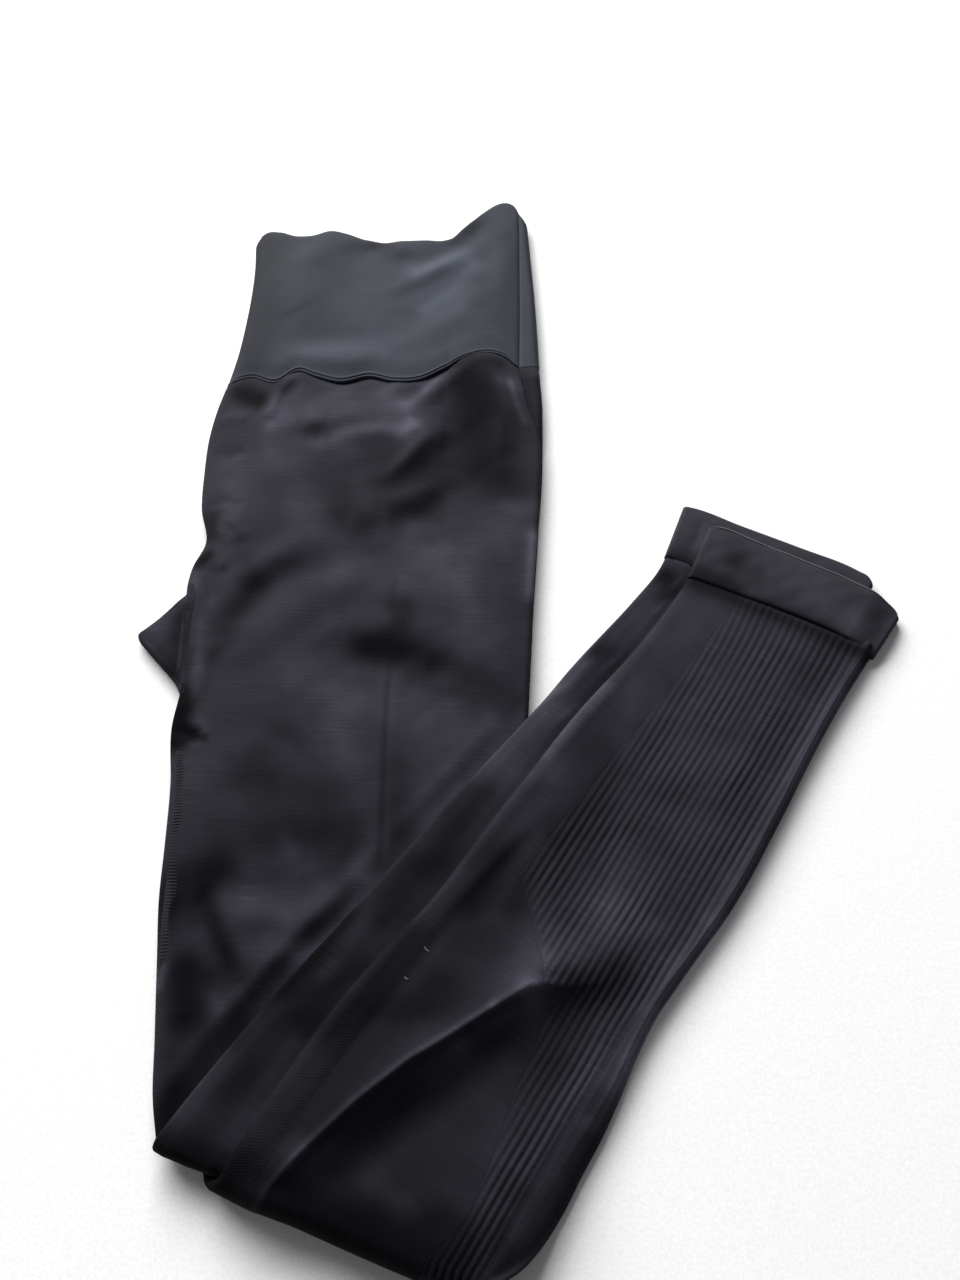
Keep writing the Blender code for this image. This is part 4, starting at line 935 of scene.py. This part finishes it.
def left_top(along, across):
    """Places on the left leg's upper side. Below FOLD_AT they go on round the knee fold."""
    calf = np.maximum(along, FOLD_AT)
    x, y = calf_plan(calf, across)
    z = left_ground(calf, across) + STACK + left_calf_cover(calf, across)
    left, right, shows, inset = THIGH[-1, 0:2], THIGH[-1, 2:4], THIGH[-1, 4], THIGH[-1, 5]
    width = np.linalg.norm(right - left)
    share = (across - CALF[0, LEFT_LOW] - TUBE / 2) / (CALF[0, LEFT_HIGH] - CALF[0, LEFT_LOW] - TUBE)
    under = inset + TUBE / 2 + share * (width + shows - inset - TUBE)
    under_x = left[0] + under / width * (right - left)[0]
    under_y = left[1] + under / width * (right - left)[1]
    radius = z / 2
    angle = np.minimum((FOLD_AT - np.minimum(along, FOLD_AT)) / radius, HALF_TURN)
    half, bulge = (1.0 - np.cos(angle)) / 2, np.sin(angle) * radius
    return np.stack([x + (under_x - x) * half + FOLD_OUTWARD[0] * bulge,
                     y + (under_y - y) * half + FOLD_OUTWARD[1] * bulge, z * (1.0 - half)], axis=-1)


def lift_off(points, rise):
    """Points moved off their own surface, along its normal worked out from the grid."""
    down = np.cross(np.gradient(points, axis=0), np.gradient(points, axis=1))
    normal = down / np.linalg.norm(down, axis=-1, keepdims=True)
    normal = normal * np.sign(np.median(normal[..., 2]))
    return points + normal * rise[..., None]


def on_left_top(name, along, across, rise, depth, mottle_and_painted_shading):
    """A thin wall on the left leg's upper side: its outside is `rise` above it, its inside `depth` in."""
    base = left_top(along, across)
    return wall_mesh(name, lift_off(base, rise), lift_off(base, np.full_like(rise, -depth)),
                     np.stack([across, -along], axis=-1), mottle_and_painted_shading=mottle_and_painted_shading)


def left_calf_ribs():
    """Ribs of the left calf: lines along it, from under the knee fold to the cuff.

    Each rib is a raised cosine over one pitch. The pitch grows towards the ankle, and the ribs
    keep their distance from the calf's right edge.
    """
    rows = [np.linspace(*span) for span in RIB_ROWS]
    rows = np.concatenate([rows[0][:-1], rows[1][:-1], rows[2]])[:, None]
    side, flank = rib_sides(rows)
    across = side + (flank - side) * np.linspace(0.0, 1.0, RIB_COLUMNS)
    along = np.broadcast_to(rows, across.shape)
    pitch = np.interp(along, RIB_PITCH_AT, RIB_PITCH)
    from_last = RIB_LAST_VALLEY - across + uneven(along, across * 0.3, RIB_WANDER)
    ridge = 0.5 - 0.5 * np.cos(2.0 * math.pi * from_last / pitch)
    ends = np.minimum(LEFT_CALF_END - along, along - RIB_ROWS[0][0]) + RIB_ENDS
    margin = np.minimum(rib_margin(along, across), ends)
    (in_across, over_across), (from_along, over_from), (to_along, over_to) = RIBS_PLAIN
    plain_edge = ease((across - in_across) / over_across)
    plain_edge = plain_edge * ease((along - from_along) / over_from) * ease((to_along - along) / over_to)
    rise = RIB_HEIGHT * (RIB_BASE + uneven(along, across, RIB_STRENGTH)) * ridge ** 0.8
    rise = rise * grown(RIB_LEAST, margin / RIB_BORDER) * (1.0 - PLAIN_LOSS * plain_edge) - RIB_FLOOR
    rise = rise * ease(margin / 1.2 + 0.2) + 0.05 - 0.2 * (1.0 - ease(margin / 1.5 + 0.35))
    # the calf's painted light and shade on the ribs, with half the mottle
    return on_left_top("left_calf_ribs_cloth", along, across, rise, RIB_SHELL,
                       mottle_and_painted_shading_of(along, across, CALF_PAINTED_SHADING, 0.5))


def calf_courses():
    """The seam allowance of the left calf: a flat strip of coarse courses across it, flush all round.

    Each course is a raised cosine over one pitch, slanting across the strip.
    """
    rows, columns = np.linspace(*HATCH, COURSE_ROWS)[:, None], np.linspace(0.0, 1.0, COURSE_COLUMNS)
    low, high = np.interp(rows, HATCH_AT, HATCH_LOW), np.interp(rows, HATCH_AT, HATCH_HIGH)
    across = low + (high - low) * columns
    along = np.broadcast_to(rows, across.shape)
    margin = np.minimum(np.minimum(across - low, high - across),
                        np.minimum(along - HATCH[0], HATCH[1] - along))
    bent = along - HATCH_SLANT * (across - low) + uneven(along, across, COURSE_WANDER)
    pulse = (0.5 + 0.5 * np.cos(2.0 * math.pi * bent / HATCH_PITCH)) ** 1.3
    strength = np.clip(HATCH_BASE + uneven(along, across, COURSE_STRENGTH), 0.0, HATCH_MOST)
    strength = strength * ease(margin / HATCH_BORDER)
    rise = HATCH_RISE * strength * pulse + 0.04 - 0.3 * (1.0 - ease(margin / 0.6 + 0.4))
    # the calf's painted light and shade on the coarse courses
    return on_left_top("left_calf_courses", along, across, rise, COURSE_SHELL,
                       mottle_and_painted_shading_of(along, across, CALF_PAINTED_SHADING))


def waist_y(x, share, upper):
    """Y of the waistband at a share of its height, between the seam and the top edge."""
    seam = np.where(upper, wavy_seam(x), straight_seam(x) + under_seam(x))
    top = spline(np.clip(x, TOP_X[0], TOP_X[-1]), TOP_X, TOP_Y)
    return seam + (top - seam) * share


def waistband():
    """The waistband folded flat: upper half, round the centre back, lower half.

    Two cords run along the seam, and the top edge rolls over.
    """
    share = np.concatenate([np.linspace(0.0, 0.06, SEAM_ROWS), np.linspace(0.06, 0.97, WAIST_ROWS)[1:],
                            [0.98, 0.99, 0.996, 1.0]])
    sizes = spline(share, WAIST[:, 0], WAIST)
    left_x, right_x, under_x = sizes[:, 1:2], sizes[:, 2:3], sizes[:, 3:4]
    rows = np.ones((len(share), 1))
    back_radius = STACK / 2
    skins = []
    for depth in (0.0, DOUBLED):
        radius, over_in, over_z = edge_turn(STACK * rows, (TUBE + GAP) * rows, HALF_TURN * rows,
                                            TUCK * rows, depth, 3)
        under_radius, under_in, under_z = edge_turn(
            0.0 * rows, UNDER_BACK * rows, HALF_TURN * rows,
            under_x - right_x - UNDER_BACK / 2 + UNDER_TUCK, depth, 3)
        angle = np.linspace(QUARTER_TURN, 3 * QUARTER_TURN, BACK_COLUMNS)
        turn_x = left_x + back_radius + (back_radius - depth) * np.cos(angle)
        turn_z = rows * (back_radius + (back_radius - depth) * np.sin(angle))
        main_start, main_end = right_x - radius, left_x + back_radius
        main_x = main_start + (main_end - main_start) * np.linspace(0.0, 1.0, UPPER_COLUMNS)[1:-1]
        under_run = under_x - under_radius - main_end
        under_main = main_end + under_run * np.linspace(0.0, 1.0, LOWER_COLUMNS)[1:-1]
        x = np.concatenate([right_x - over_in[:, ::-1], main_x, turn_x, under_main,
                            under_x - under_in], axis=1)
        z = np.concatenate([over_z[:, ::-1], main_x * 0 + STACK - depth, turn_z,
                            under_main * 0 + depth, under_z], axis=1)
        before = over_in.shape[1]
        column = np.arange(x.shape[1])
        upper = column < before + main_x.shape[1] + (BACK_COLUMNS + 1) // 2
        flat = (column >= before - 1) & (column <= before + main_x.shape[1])
        y = waist_y(x, share[:, None], upper)
        across = (x - left_x) / (right_x - left_x)
        shape = LOFT + creases_height(x, y, WAIST_CREASES) + uneven(x, y, WAIST_WAVES)
        shape = shape + slopes_height(x, y, WAIST_SLOPES)
        above = y - waist_y(x, 0.0, upper)
        cords = sum(rise * bell(above - place, width) for rise, place, width in SEAM_CORDS)
        slack = crown(across, 8) * shape * grown(0.45, above / 14.0) + cords * crown(across, 12)
        slack = slack + crown(across, 8) * slopes_height(x, y, HIP_SLOPES)
        skins.append(np.stack([x, y, z + np.where(flat, slack, 0.0)], axis=-1))
    outer, inner = skins
    middle = (outer + inner) / 2
    for number, pinch in PINCHES:
        outer[number] += (middle[number] - outer[number]) * pinch
        inner[number] += (middle[number] - inner[number]) * pinch
    # painted light and shade on the waistband, with a fifth of the mottle
    mottle_and_painted_shading = mottle_and_painted_shading_of(outer[..., 0], outer[..., 1], WAIST_PAINTED_SHADING, 0.2)
    return wall_mesh("waistband_cloth", outer, inner, outer[..., :2].copy(), mottle_and_painted_shading=mottle_and_painted_shading)


def lying(lies, across, right):
    """Height of what a cuff lies on, which ends where the cuff drops to the surface."""
    lift, drop_from = lies
    return lift * (1.0 - ease((across - drop_from) / (right - CUFF_THICK / 2 - drop_from)))


def cuff(name, sizes, ends, lies, hollow, seed):
    """A cuff pressed flat: a flattened ring of doubled knit, full between its seam and open edge."""
    seam_left, seam_right, open_left, open_right = sizes
    share = np.concatenate([[0.0, 0.015, 0.04, 0.07], np.linspace(0.1, 0.9, 18),
                            [0.93, 0.96, 0.985, 1.0]])[:, None]
    left = seam_left + (open_left - seam_left) * share
    right = seam_right + (open_right - seam_right) * share
    ends = np.array(ends)
    radius = CUFF_THICK / 2
    swell = CUFF_SWELL[0] * np.sqrt(np.clip(crown(share, 3), 0.0, 1.0)) + CUFF_SWELL[1]
    angle = np.linspace(QUARTER_TURN, 3 * QUARTER_TURN, CUFF_TURN_COLUMNS)[1:-1]
    skins = []
    for depth in (0.0, DOUBLED):
        main = left + radius + (right - left - 2 * radius) * np.linspace(0.0, 1.0, CUFF_COLUMNS)
        turn = radius - depth
        across = np.concatenate([main, right - radius - turn * np.cos(angle), main[:, ::-1],
                                 left + radius + turn * np.cos(angle)], axis=1)
        level = np.concatenate([CUFF_THICK - depth + main * 0, radius + turn * np.sin(angle) + share * 0,
                                depth + main * 0, radius - turn * np.sin(angle) + share * 0], axis=1)
        place = (across - left) / (right - left)
        start = spline(place, ends[:, 0], ends[:, 1])
        far = start + (spline(place, ends[:, 0], ends[:, 2]) - start) * share
        x, y = to_plan(far, across)
        rise = swell + uneven(x, y, ((0.30, 26.0, seed), (0.12, 9.0, seed + 5))) * crown(share)
        sunk, centre, spread = CUFF_DENT
        rise = rise + sunk * bell(place - hollow[0], hollow[1]) * bell(share - centre, spread)
        z = level + lying(lies, across, right) + ease((level - radius) / radius) * rise
        skins.append(np.stack([x, y, z], axis=-1))
    outer, inner = skins
    # painted light and shade on the cuffs, with less mottle
    mottle_and_painted_shading = mottle_and_painted_shading_of(far - ANKLE_SHEAR * across, across, CUFF_PAINTED_SHADING, 0.3)
    return wall_mesh(name, outer, inner, calf_cloth(outer[..., 0], outer[..., 1]), wrap=True, mottle_and_painted_shading=mottle_and_painted_shading)


def thigh_height(x, y):
    """Height of the right thigh's upper side."""
    left = np.interp(-y, -THIGH[:, 1], THIGH[:, 0])
    right = np.interp(-y, -THIGH[:, 3], THIGH[:, 2])
    return STACK + thigh_cover(x, y, (x - left) / (right - left))


def gusset_height(x, y):
    """Height of the gusset's upper side: over the leg's left edge, then down to its own left edge."""
    right, left, low = (np.interp(-y, -GUSSET[:, 0], GUSSET[:, column]) for column in (1, 2, 3))
    edge = np.interp(-y, -THIGH[:, 1], THIGH[:, 0]) + 2.0
    leg = thigh_height(np.maximum(x, edge), y)
    fallen = (edge - x) / np.maximum(edge - left - low / 2, 1.0)
    bow = uneven(x, y, GUSSET_WAVES) + slopes_height(x, y, GUSSET_SLOPES)
    bow = bow * crown((x - left) / (right - left))
    over = 0.12 - 0.5 * (1.0 - ease((right - x) / 0.7))
    return leg + (low - leg) * (0.35 * np.clip(fallen, 0.0, 1.0) + 0.65 * ease(fallen)) + over + bow


def gusset():
    """The gusset's folded tip: it falls from the leg's edge to its own left edge and turns under."""
    y = np.linspace(GUSSET[0, 0], GUSSET[-1, 0], GUSSET_ROWS)
    rows = spline(-y, -GUSSET[:, 0], GUSSET)
    right, left, low = rows[:, 1:2], rows[:, 2:3], rows[:, 3:4]
    middle = low / 2
    reach = np.minimum(middle, (right - left) * 0.5)
    angle = np.linspace(QUARTER_TURN, 3 * QUARTER_TURN, GUSSET_TURN_COLUMNS)
    upper = right + (left + reach - right) * np.linspace(0.0, 1.0, GUSSET_COLUMNS)[:-1]
    height = gusset_height(upper, upper * 0 + y[:, None])
    skins = []
    for depth in (0.0, KNIT):
        turn_x = left + reach + np.maximum(reach - depth, 0.3) * np.cos(angle)
        turn_z = middle + (middle - depth) * np.sin(angle)
        x = np.concatenate([upper, turn_x, np.maximum(upper, left + reach)[:, ::-1]], axis=1)
        z = np.concatenate([height - depth, turn_z, upper * 0 + depth], axis=1)
        skins.append(np.stack([x, np.broadcast_to(y[:, None], x.shape), z], axis=-1))
    outer, inner = skins
    # painted light and shade on the gusset
    mottle_and_painted_shading = mottle_and_painted_shading_of(outer[..., 0], outer[..., 1], GUSSET_PAINTED_SHADING)
    return wall_mesh("gusset_cloth", outer, inner, outer[..., :2].copy(), mottle_and_painted_shading=mottle_and_painted_shading)


def distances(points):
    """How far each point of a line is along it."""
    return np.concatenate([[0.0], np.cumsum(np.linalg.norm(np.diff(points, axis=0), axis=1))])


def even_line(places, step):
    """A smooth line through places, with points at even steps."""
    run = distances(np.array(places))
    return spline(np.linspace(0.0, run[-1], int(run[-1] / step) + 1), run, places)


def thigh_inseam(name, seam, height):
    """A flat seam on the thigh: a narrow band along a line, raised a little at each of its rungs."""
    width, rise, *places = seam
    line = even_line(places, SEAM_STEP)
    points = np.column_stack([line, height(line[:, 0], line[:, 1])])
    along = np.gradient(line, axis=0)
    sideways = np.column_stack([along[:, 1], -along[:, 0], along[:, 0] * 0])
    sideways = sideways / np.linalg.norm(sideways, axis=1)[:, None]
    across = np.array(SEAM_SECTION) * width / 2
    run = distances(points)
    pulse = (0.5 + 0.5 * np.cos(2.0 * math.pi * run / RUNG)) ** 1.5
    pulse = pulse * (0.75 + uneven(run, run * 0, RUNG_WAVES))
    ends = ease(run / SEAM_ENDS) * ease((run[-1] - run) / SEAM_ENDS)
    rungs = SEAM_BASE + rise * pulse * ends
    shape = (1.0 - np.abs(across / across[-1]) ** 4)[None, :] * rungs[:, None]
    outer = points[:, None, :] + sideways[:, None, :] * across[None, :, None]
    outer[..., 2] += shape - 0.05 - 0.35 * (1.0 - ends)[:, None]
    inner = outer.copy()
    inner[..., 2] -= shape + SEAM_SHELL
    return wall_mesh(name, outer, inner, np.stack(np.broadcast_arrays(across, run[:, None]), axis=-1))


def bead(name, points, radius, sides=8):
    """A round cord along a line, closing at its ends."""
    along = np.gradient(points, axis=0)
    along = along / np.linalg.norm(along, axis=1)[:, None]
    beside = np.cross(along, (0.0, 0.0, 1.0))
    beside = beside / np.linalg.norm(beside, axis=1)[:, None]
    above = np.cross(beside, along)
    number = np.arange(len(points))
    ends = np.sqrt(np.clip(np.minimum(number, number[::-1]) / 6.0, 0.02, 1))
    angle = np.linspace(0.0, 2.0 * math.pi, sides + 1)[:-1]
    ring = (beside[:, None, :] * np.cos(angle)[None, :, None]
            + above[:, None, :] * np.sin(angle)[None, :, None]) * (radius * ends)[:, None, None]
    outer, inner = (points[:, None, :] + ring * size for size in (1.0, 0.4))
    return wall_mesh(name, outer, inner, np.stack(np.broadcast_arrays(angle, number[:, None]), axis=-1),
                     wrap=True)


def loose_thread(name, places):
    """A short end of thread that lies on the calf."""
    line = even_line(places, THREAD_STEP)
    return bead(name, left_top(line[:, 0], line[:, 1]) + (0.0, 0.0, 0.2), THREAD_RADIUS)


def cuff_hem(name, sizes, ends, lies):
    """The cord that edges a cuff's opening on its upper side."""
    _, _, open_left, open_right = sizes
    ends = np.array(ends)
    place = np.linspace(0.02, 0.985, 160)
    across = open_left + (open_right - open_left) * place
    x, y = to_plan(spline(place, ends[:, 0], ends[:, 2]) - 0.1, across)
    z = HEM_LIFT + lying(lies, across, open_right) + uneven(across, across * 0, HEM_WAVES)
    return bead(name, np.stack([x, y, z], axis=1), HEM_RADIUS)


# ---- materials ----
class Term:
    """A number in a material's nodes. Arithmetic on it adds Math nodes."""

    def __init__(self, finish, socket):
        self.finish = finish
        self.socket = socket

    def math(self, operation, other=0.0, swap=False):
        values = (other, self) if swap else (self, other)
        return self.finish.term("ShaderNodeMath", {"operation": operation}, *values)

    def __add__(self, other):
        return self.math("ADD", other)

    __radd__ = __add__

    def __sub__(self, other):
        return self.math("SUBTRACT", other)

    def __rsub__(self, other):
        return self.math("SUBTRACT", other, swap=True)

    def __mul__(self, other):
        return self.math("MULTIPLY", other)

    __rmul__ = __mul__

    def sine(self):
        return self.math("SINE")

    def over(self, low, high):
        """How far the number is from low to high, from 0 to 1, with level ends."""
        return self.finish.term("ShaderNodeMapRange", {"interpolation_type": "SMOOTHSTEP", "clamp": True},
                                self, low, high, 0.0, 1.0)


class Finish:
    """A material and its nodes."""

    def __init__(self, name):
        self.material = bpy.data.materials.new(name)
        self.material.use_nodes = True
        self.tree = self.material.node_tree
        self.shader = self.tree.nodes["Principled BSDF"]

    def node(self, kind, settings=None, *values, **named):
        """A node of that kind. Its settings are made first, then its sockets by order or by name."""
        node = self.tree.nodes.new(kind)
        for name, value in (settings or {}).items():
            setattr(node, name, value)
        for key, value in list(enumerate(values)) + list(named.items()):
            self.join(value, node.inputs[key])
        return node

    def term(self, *node, **named):
        """The first output of such a node, as a number."""
        return Term(self, self.node(*node, **named).outputs[0])

    def join(self, value, socket):
        """Links a term or another node's output to a socket, or sets the socket's own value."""
        value = value.socket if isinstance(value, Term) else value
        if isinstance(value, bpy.types.NodeSocket):
            self.tree.links.new(value, socket)
        else:
            socket.default_value = value

    def surface(self, **named):
        """The shader's own sockets, from numbers or from nodes."""
        for name, value in named.items():
            self.join(value, self.shader.inputs[name.replace("_", " ")])

    def shaded(self, factor, colour, gain):
        """The colour, darker by `gain` where the factor is 0 and lighter by it where it is 1."""
        mix = self.node("ShaderNodeMix", {"data_type": "RGBA"}, Factor=factor)
        for socket, change in ((6, 1.0 - gain), (7, 1.0 + gain)):
            mix.inputs[socket].default_value = [min(part * change, 1.0) for part in colour] + [1.0]
        return mix.outputs[2]


# Noise in the knit: cells a metre along a course and along the cloth, detail, roughness
MOTTLE, WANDER, STREAKS = (26.0, 30.0, 3.0, 0.5), (45.0, 160.0, 2.0, 0.5), (55.0, 780.0, 3.0, 0.6)
LOOPS, PATCHES, DASHES = (1500.0, 1500.0, 1.0, 0.5), (20.0, 34.0, 2.0, 0.5), (70.0, 1300.0, 1.0, 0.5)
SWAY = 0.0011                    # how far the courses stray, m
BUMP = 0.00016                   # height of the knit's relief, m
TINT = (0.86, 0.89, 1.0, 1.0)    # of its shine


def knit(name, colour, roughness, course, course_depth, streak_depth, gain, shine):
    """Fine knit: courses across the cloth, broken streaks along them, loops and a soft mottle.

    Courses are a sine of the cloth's length. Streaks are noise that is stretched along a course.
    Both shade the colour and raise the surface.
    """
    finish = Finish(name)
    cloth = finish.node("ShaderNodeUVMap", {"uv_map": "cloth"}).outputs[0]
    parts = finish.node("ShaderNodeSeparateXYZ", None, cloth).outputs
    u, v = Term(finish, parts[0]), Term(finish, parts[1])

    def noise(along_u, along_v, detail, rough):
        """Noise in the cloth's coordinates, each stretched on its own."""
        place = finish.node("ShaderNodeCombineXYZ", None, u * along_u, v * along_v, 0.0).outputs[0]
        return finish.term("ShaderNodeTexNoise", {"noise_dimensions": "2D"}, Vector=place, Scale=1.0,
                           Detail=detail, Roughness=rough)

    mottle, wander, streaks, loops = (noise(*sizes) for sizes in (MOTTLE, WANDER, STREAKS, LOOPS))
    patches, dashes = noise(*PATCHES).over(0.46, 0.66), noise(*DASHES).over(0.62, 0.76)
    courses = ((v + wander * SWAY) * (2.0 * math.pi / (course * MM))).sine() * 0.5 + 0.5
    lines = courses * (patches * 0.8 + 0.2)
    relief = lines * course_depth + streaks * streak_depth + loops * 0.25
    bump = finish.node("ShaderNodeBump", None, Strength=1.0, Distance=BUMP, Height=relief)
    shade = (streaks - 0.5) * 0.5 + (lines - 0.3) * 0.12 + (mottle - 0.5) * 1.1 + (loops - 0.5) * 0.25
    shade = (shade + dashes * 0.35).over(-0.5, 0.5)
    # The base colour is scaled by each point's painted light and shade, with the knit's own mottle, read
    # from the mesh attribute.
    mottle_and_painted_shading = finish.node("ShaderNodeAttribute", {"attribute_name": "mottle_and_painted_shading"}).outputs[2]
    colour_with_painted_shading = finish.node("ShaderNodeVectorMath", {"operation": "SCALE"},
                        finish.shaded(shade, colour, gain), Scale=mottle_and_painted_shading)
    finish.surface(Base_Color=colour_with_painted_shading.outputs[0], Normal=bump.outputs[0],
                   Roughness=(mottle - 0.5) * 0.16 + roughness, Specular_IOR_Level=shine,
                   Specular_Tint=TINT)
    return finish.material


def plain(name, colour, roughness, shine=0.5):
    """One colour with a fine grain."""
    finish = Finish(name)
    place = finish.node("ShaderNodeTexCoord").outputs["Object"]
    grain = finish.term("ShaderNodeTexNoise", None, Vector=place, Scale=900.0, Detail=2.0)
    finish.surface(Base_Color=finish.shaded(grain, colour, 0.15), Roughness=roughness,
                   Specular_IOR_Level=shine)
    return finish.material


# Knits: colour, roughness, distance of the courses in mm, their depth, the streaks' depth, how much
# lighter and darker they are, shine
WAIST_KNIT = knit("waistband_satin_knit", (0.0385, 0.0425, 0.0545), 0.68, 1.4, 0.08, 0.14, 0.14, 0.08)
LEG_KNIT = knit("leg_knit", (0.0242, 0.0230, 0.0303), 0.75, 1.9, 0.10, 0.18, 0.20, 0.045)
RIB_KNIT = knit("rib_knit", (0.0250, 0.0240, 0.0318), 0.75, 1.6, 0.05, 0.14, 0.24, 0.045)
CUFF_KNIT = knit("cuff_knit", (0.0297, 0.0291, 0.0370), 0.75, 1.2, 0.1, 0.10, 0.16, 0.05)
SEAM_KNIT = plain("seam_thread", (0.0205, 0.0205, 0.025), 0.8, 0.05)
# Light thread: the loose threads' own colour, and on the left cuff's hem cord a painted highlight along
# the cuff's top edge.
LIGHT_THREAD_AND_PAINTED_HIGHLIGHT = plain("light_thread_and_painted_highlight", (0.105, 0.110, 0.112), 0.7, 0.2)
# Half the leg knit's colour: painted shade on the inner layers, which show only in gaps and deep creases.
INNER_KNIT_PAINTED_SHADE = plain("inner_knit", (0.012, 0.012, 0.015), 0.9, 0.1)

# ---- the garment: piece, node it stands for, slot, material, flat size in m, area in m2 ----
pieces = (
    (waistband(), "waistband", "waistband_knit", WAIST_KNIT, (0.330, 0.113), 0.0370),
    (right_leg(), "right_leg", "leg_knit", LEG_KNIT, (0.190, 0.690), 0.1060),
    (left_leg(), "left_leg", "leg_knit", LEG_KNIT, (0.180, 0.680), 0.0950),
    (gusset(), "gusset", "gusset_knit", LEG_KNIT, (0.046, 0.057), 0.0019),
    (left_calf_ribs(), "left_calf_ribs", "rib_knit", RIB_KNIT, (0.070, 0.314), 0.0172),
    (cuff("right_cuff_cloth", RIGHT_CUFF, RIGHT_CUFF_ENDS, RIGHT_CUFF_LIES, RIGHT_CUFF_DENT,
          RIGHT_CUFF_SEED), "right_cuff", "cuff_knit", CUFF_KNIT, (0.186, 0.033), 0.0060),
    (cuff("left_cuff_cloth", LEFT_CUFF, LEFT_CUFF_ENDS, LEFT_CUFF_LIES, LEFT_CUFF_DENT,
          LEFT_CUFF_SEED), "left_cuff", "cuff_knit", CUFF_KNIT, (0.186, 0.030), 0.0053),
)
for piece, node, slot, material, flat, area in pieces:
    piece.data.materials.append(material)
    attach(piece, "root")
    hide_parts(node)

trims = (
    (thigh_inseam("crotch_seam", CROTCH_SEAM, gusset_height), "leg_knit", SEAM_KNIT),
    (thigh_inseam("right_inseam", RIGHT_INSEAM, thigh_height), "leg_knit", SEAM_KNIT),
    (calf_courses(), "leg_knit", LEG_KNIT),
    (loose_thread("upper_thread", UPPER_THREAD), "leg_knit", LIGHT_THREAD_AND_PAINTED_HIGHLIGHT),
    (loose_thread("lower_thread", LOWER_THREAD), "leg_knit", LIGHT_THREAD_AND_PAINTED_HIGHLIGHT),
    # the hem cord's light thread is a painted highlight along the left cuff's top edge
    (cuff_hem("left_cuff_hem_painted_highlight", LEFT_CUFF, LEFT_CUFF_ENDS, LEFT_CUFF_LIES), "cuff_knit", LIGHT_THREAD_AND_PAINTED_HIGHLIGHT),
)
for piece, slot, material in trims:
    piece.data.materials.append(material)
    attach(piece, "root")

# the hidden layers get the darker inner knit, painted shade
for core_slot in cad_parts["hidden_layers"].material_slots:
    core_slot.material = INNER_KNIT_PAINTED_SHADE

# ---- floor, light and camera, in m ----
FLOOR_HALF, FLOOR_LEVEL = 3.0, -0.0002
EYE = np.array([110.5, -15.0, 373.4])            # plan mm; it looks along +Y and down
TILT = 30.0                                      # degrees from straight down
FOCAL, VIEW_HIGH = 967.0, 1280.0                 # focal length and the view's height, in one unit
FILM_HIGH, FILM_WIDE = 36.0, 27.0
WINDOW_AT, WINDOW_SIZE, WINDOW_POWER = (-1.72, 3.93, 2.58), (5.0, 2.4), 590.0
ROOM_LIGHT, ROOM_STRENGTH = (0.97, 0.98, 1.0, 1.0), 0.15


def floor():
    """A flat pale square, just under the garment."""
    corners = [(x * FLOOR_HALF, y * FLOOR_HALF, FLOOR_LEVEL)
               for x, y in ((-1, -1), (1, -1), (1, 1), (-1, 1))]
    mesh = bpy.data.meshes.new("floor")
    mesh.from_pydata(corners, [], [(0, 1, 2, 3)])
    mesh.materials.append(plain("pale_floor", (0.94, 0.94, 0.94), 0.7))
    piece = placed("floor", mesh)


def window():
    """A broad soft light high at the back left, turned to the garment."""
    lamp = bpy.data.lights.new("window", "AREA")
    lamp.shape = "RECTANGLE"
    lamp.size, lamp.size_y = WINDOW_SIZE
    lamp.energy = WINDOW_POWER
    holder = placed("window", lamp)
    holder.location = WINDOW_AT
    x, y, z = WINDOW_AT
    holder.rotation_euler = (math.atan2(math.hypot(x, y), z), 0.0, math.atan2(-y, -x) - QUARTER_TURN)


def camera():
    """The eye is 373 mm above the surface and looks along +Y, 60 degrees down."""
    lens = bpy.data.cameras.new("camera")
    lens.sensor_fit = "VERTICAL"
    lens.sensor_height, lens.sensor_width = FILM_HIGH, FILM_WIDE
    lens.lens = FOCAL / VIEW_HIGH * FILM_HIGH
    lens.clip_start = 0.01
    holder = placed("camera", lens)
    holder.location = (EYE - CENTRE) * MM
    holder.rotation_euler = (math.radians(TILT), 0.0, 0.0)
    bpy.context.scene.camera = holder


floor()
camera()
window()
world = bpy.data.worlds.new("studio")
world.use_nodes = True
background = world.node_tree.nodes["Background"]
background.inputs["Color"].default_value = ROOM_LIGHT
background.inputs["Strength"].default_value = ROOM_STRENGTH
bpy.context.scene.world = world
bpy.context.scene.view_settings.view_transform = "Standard"
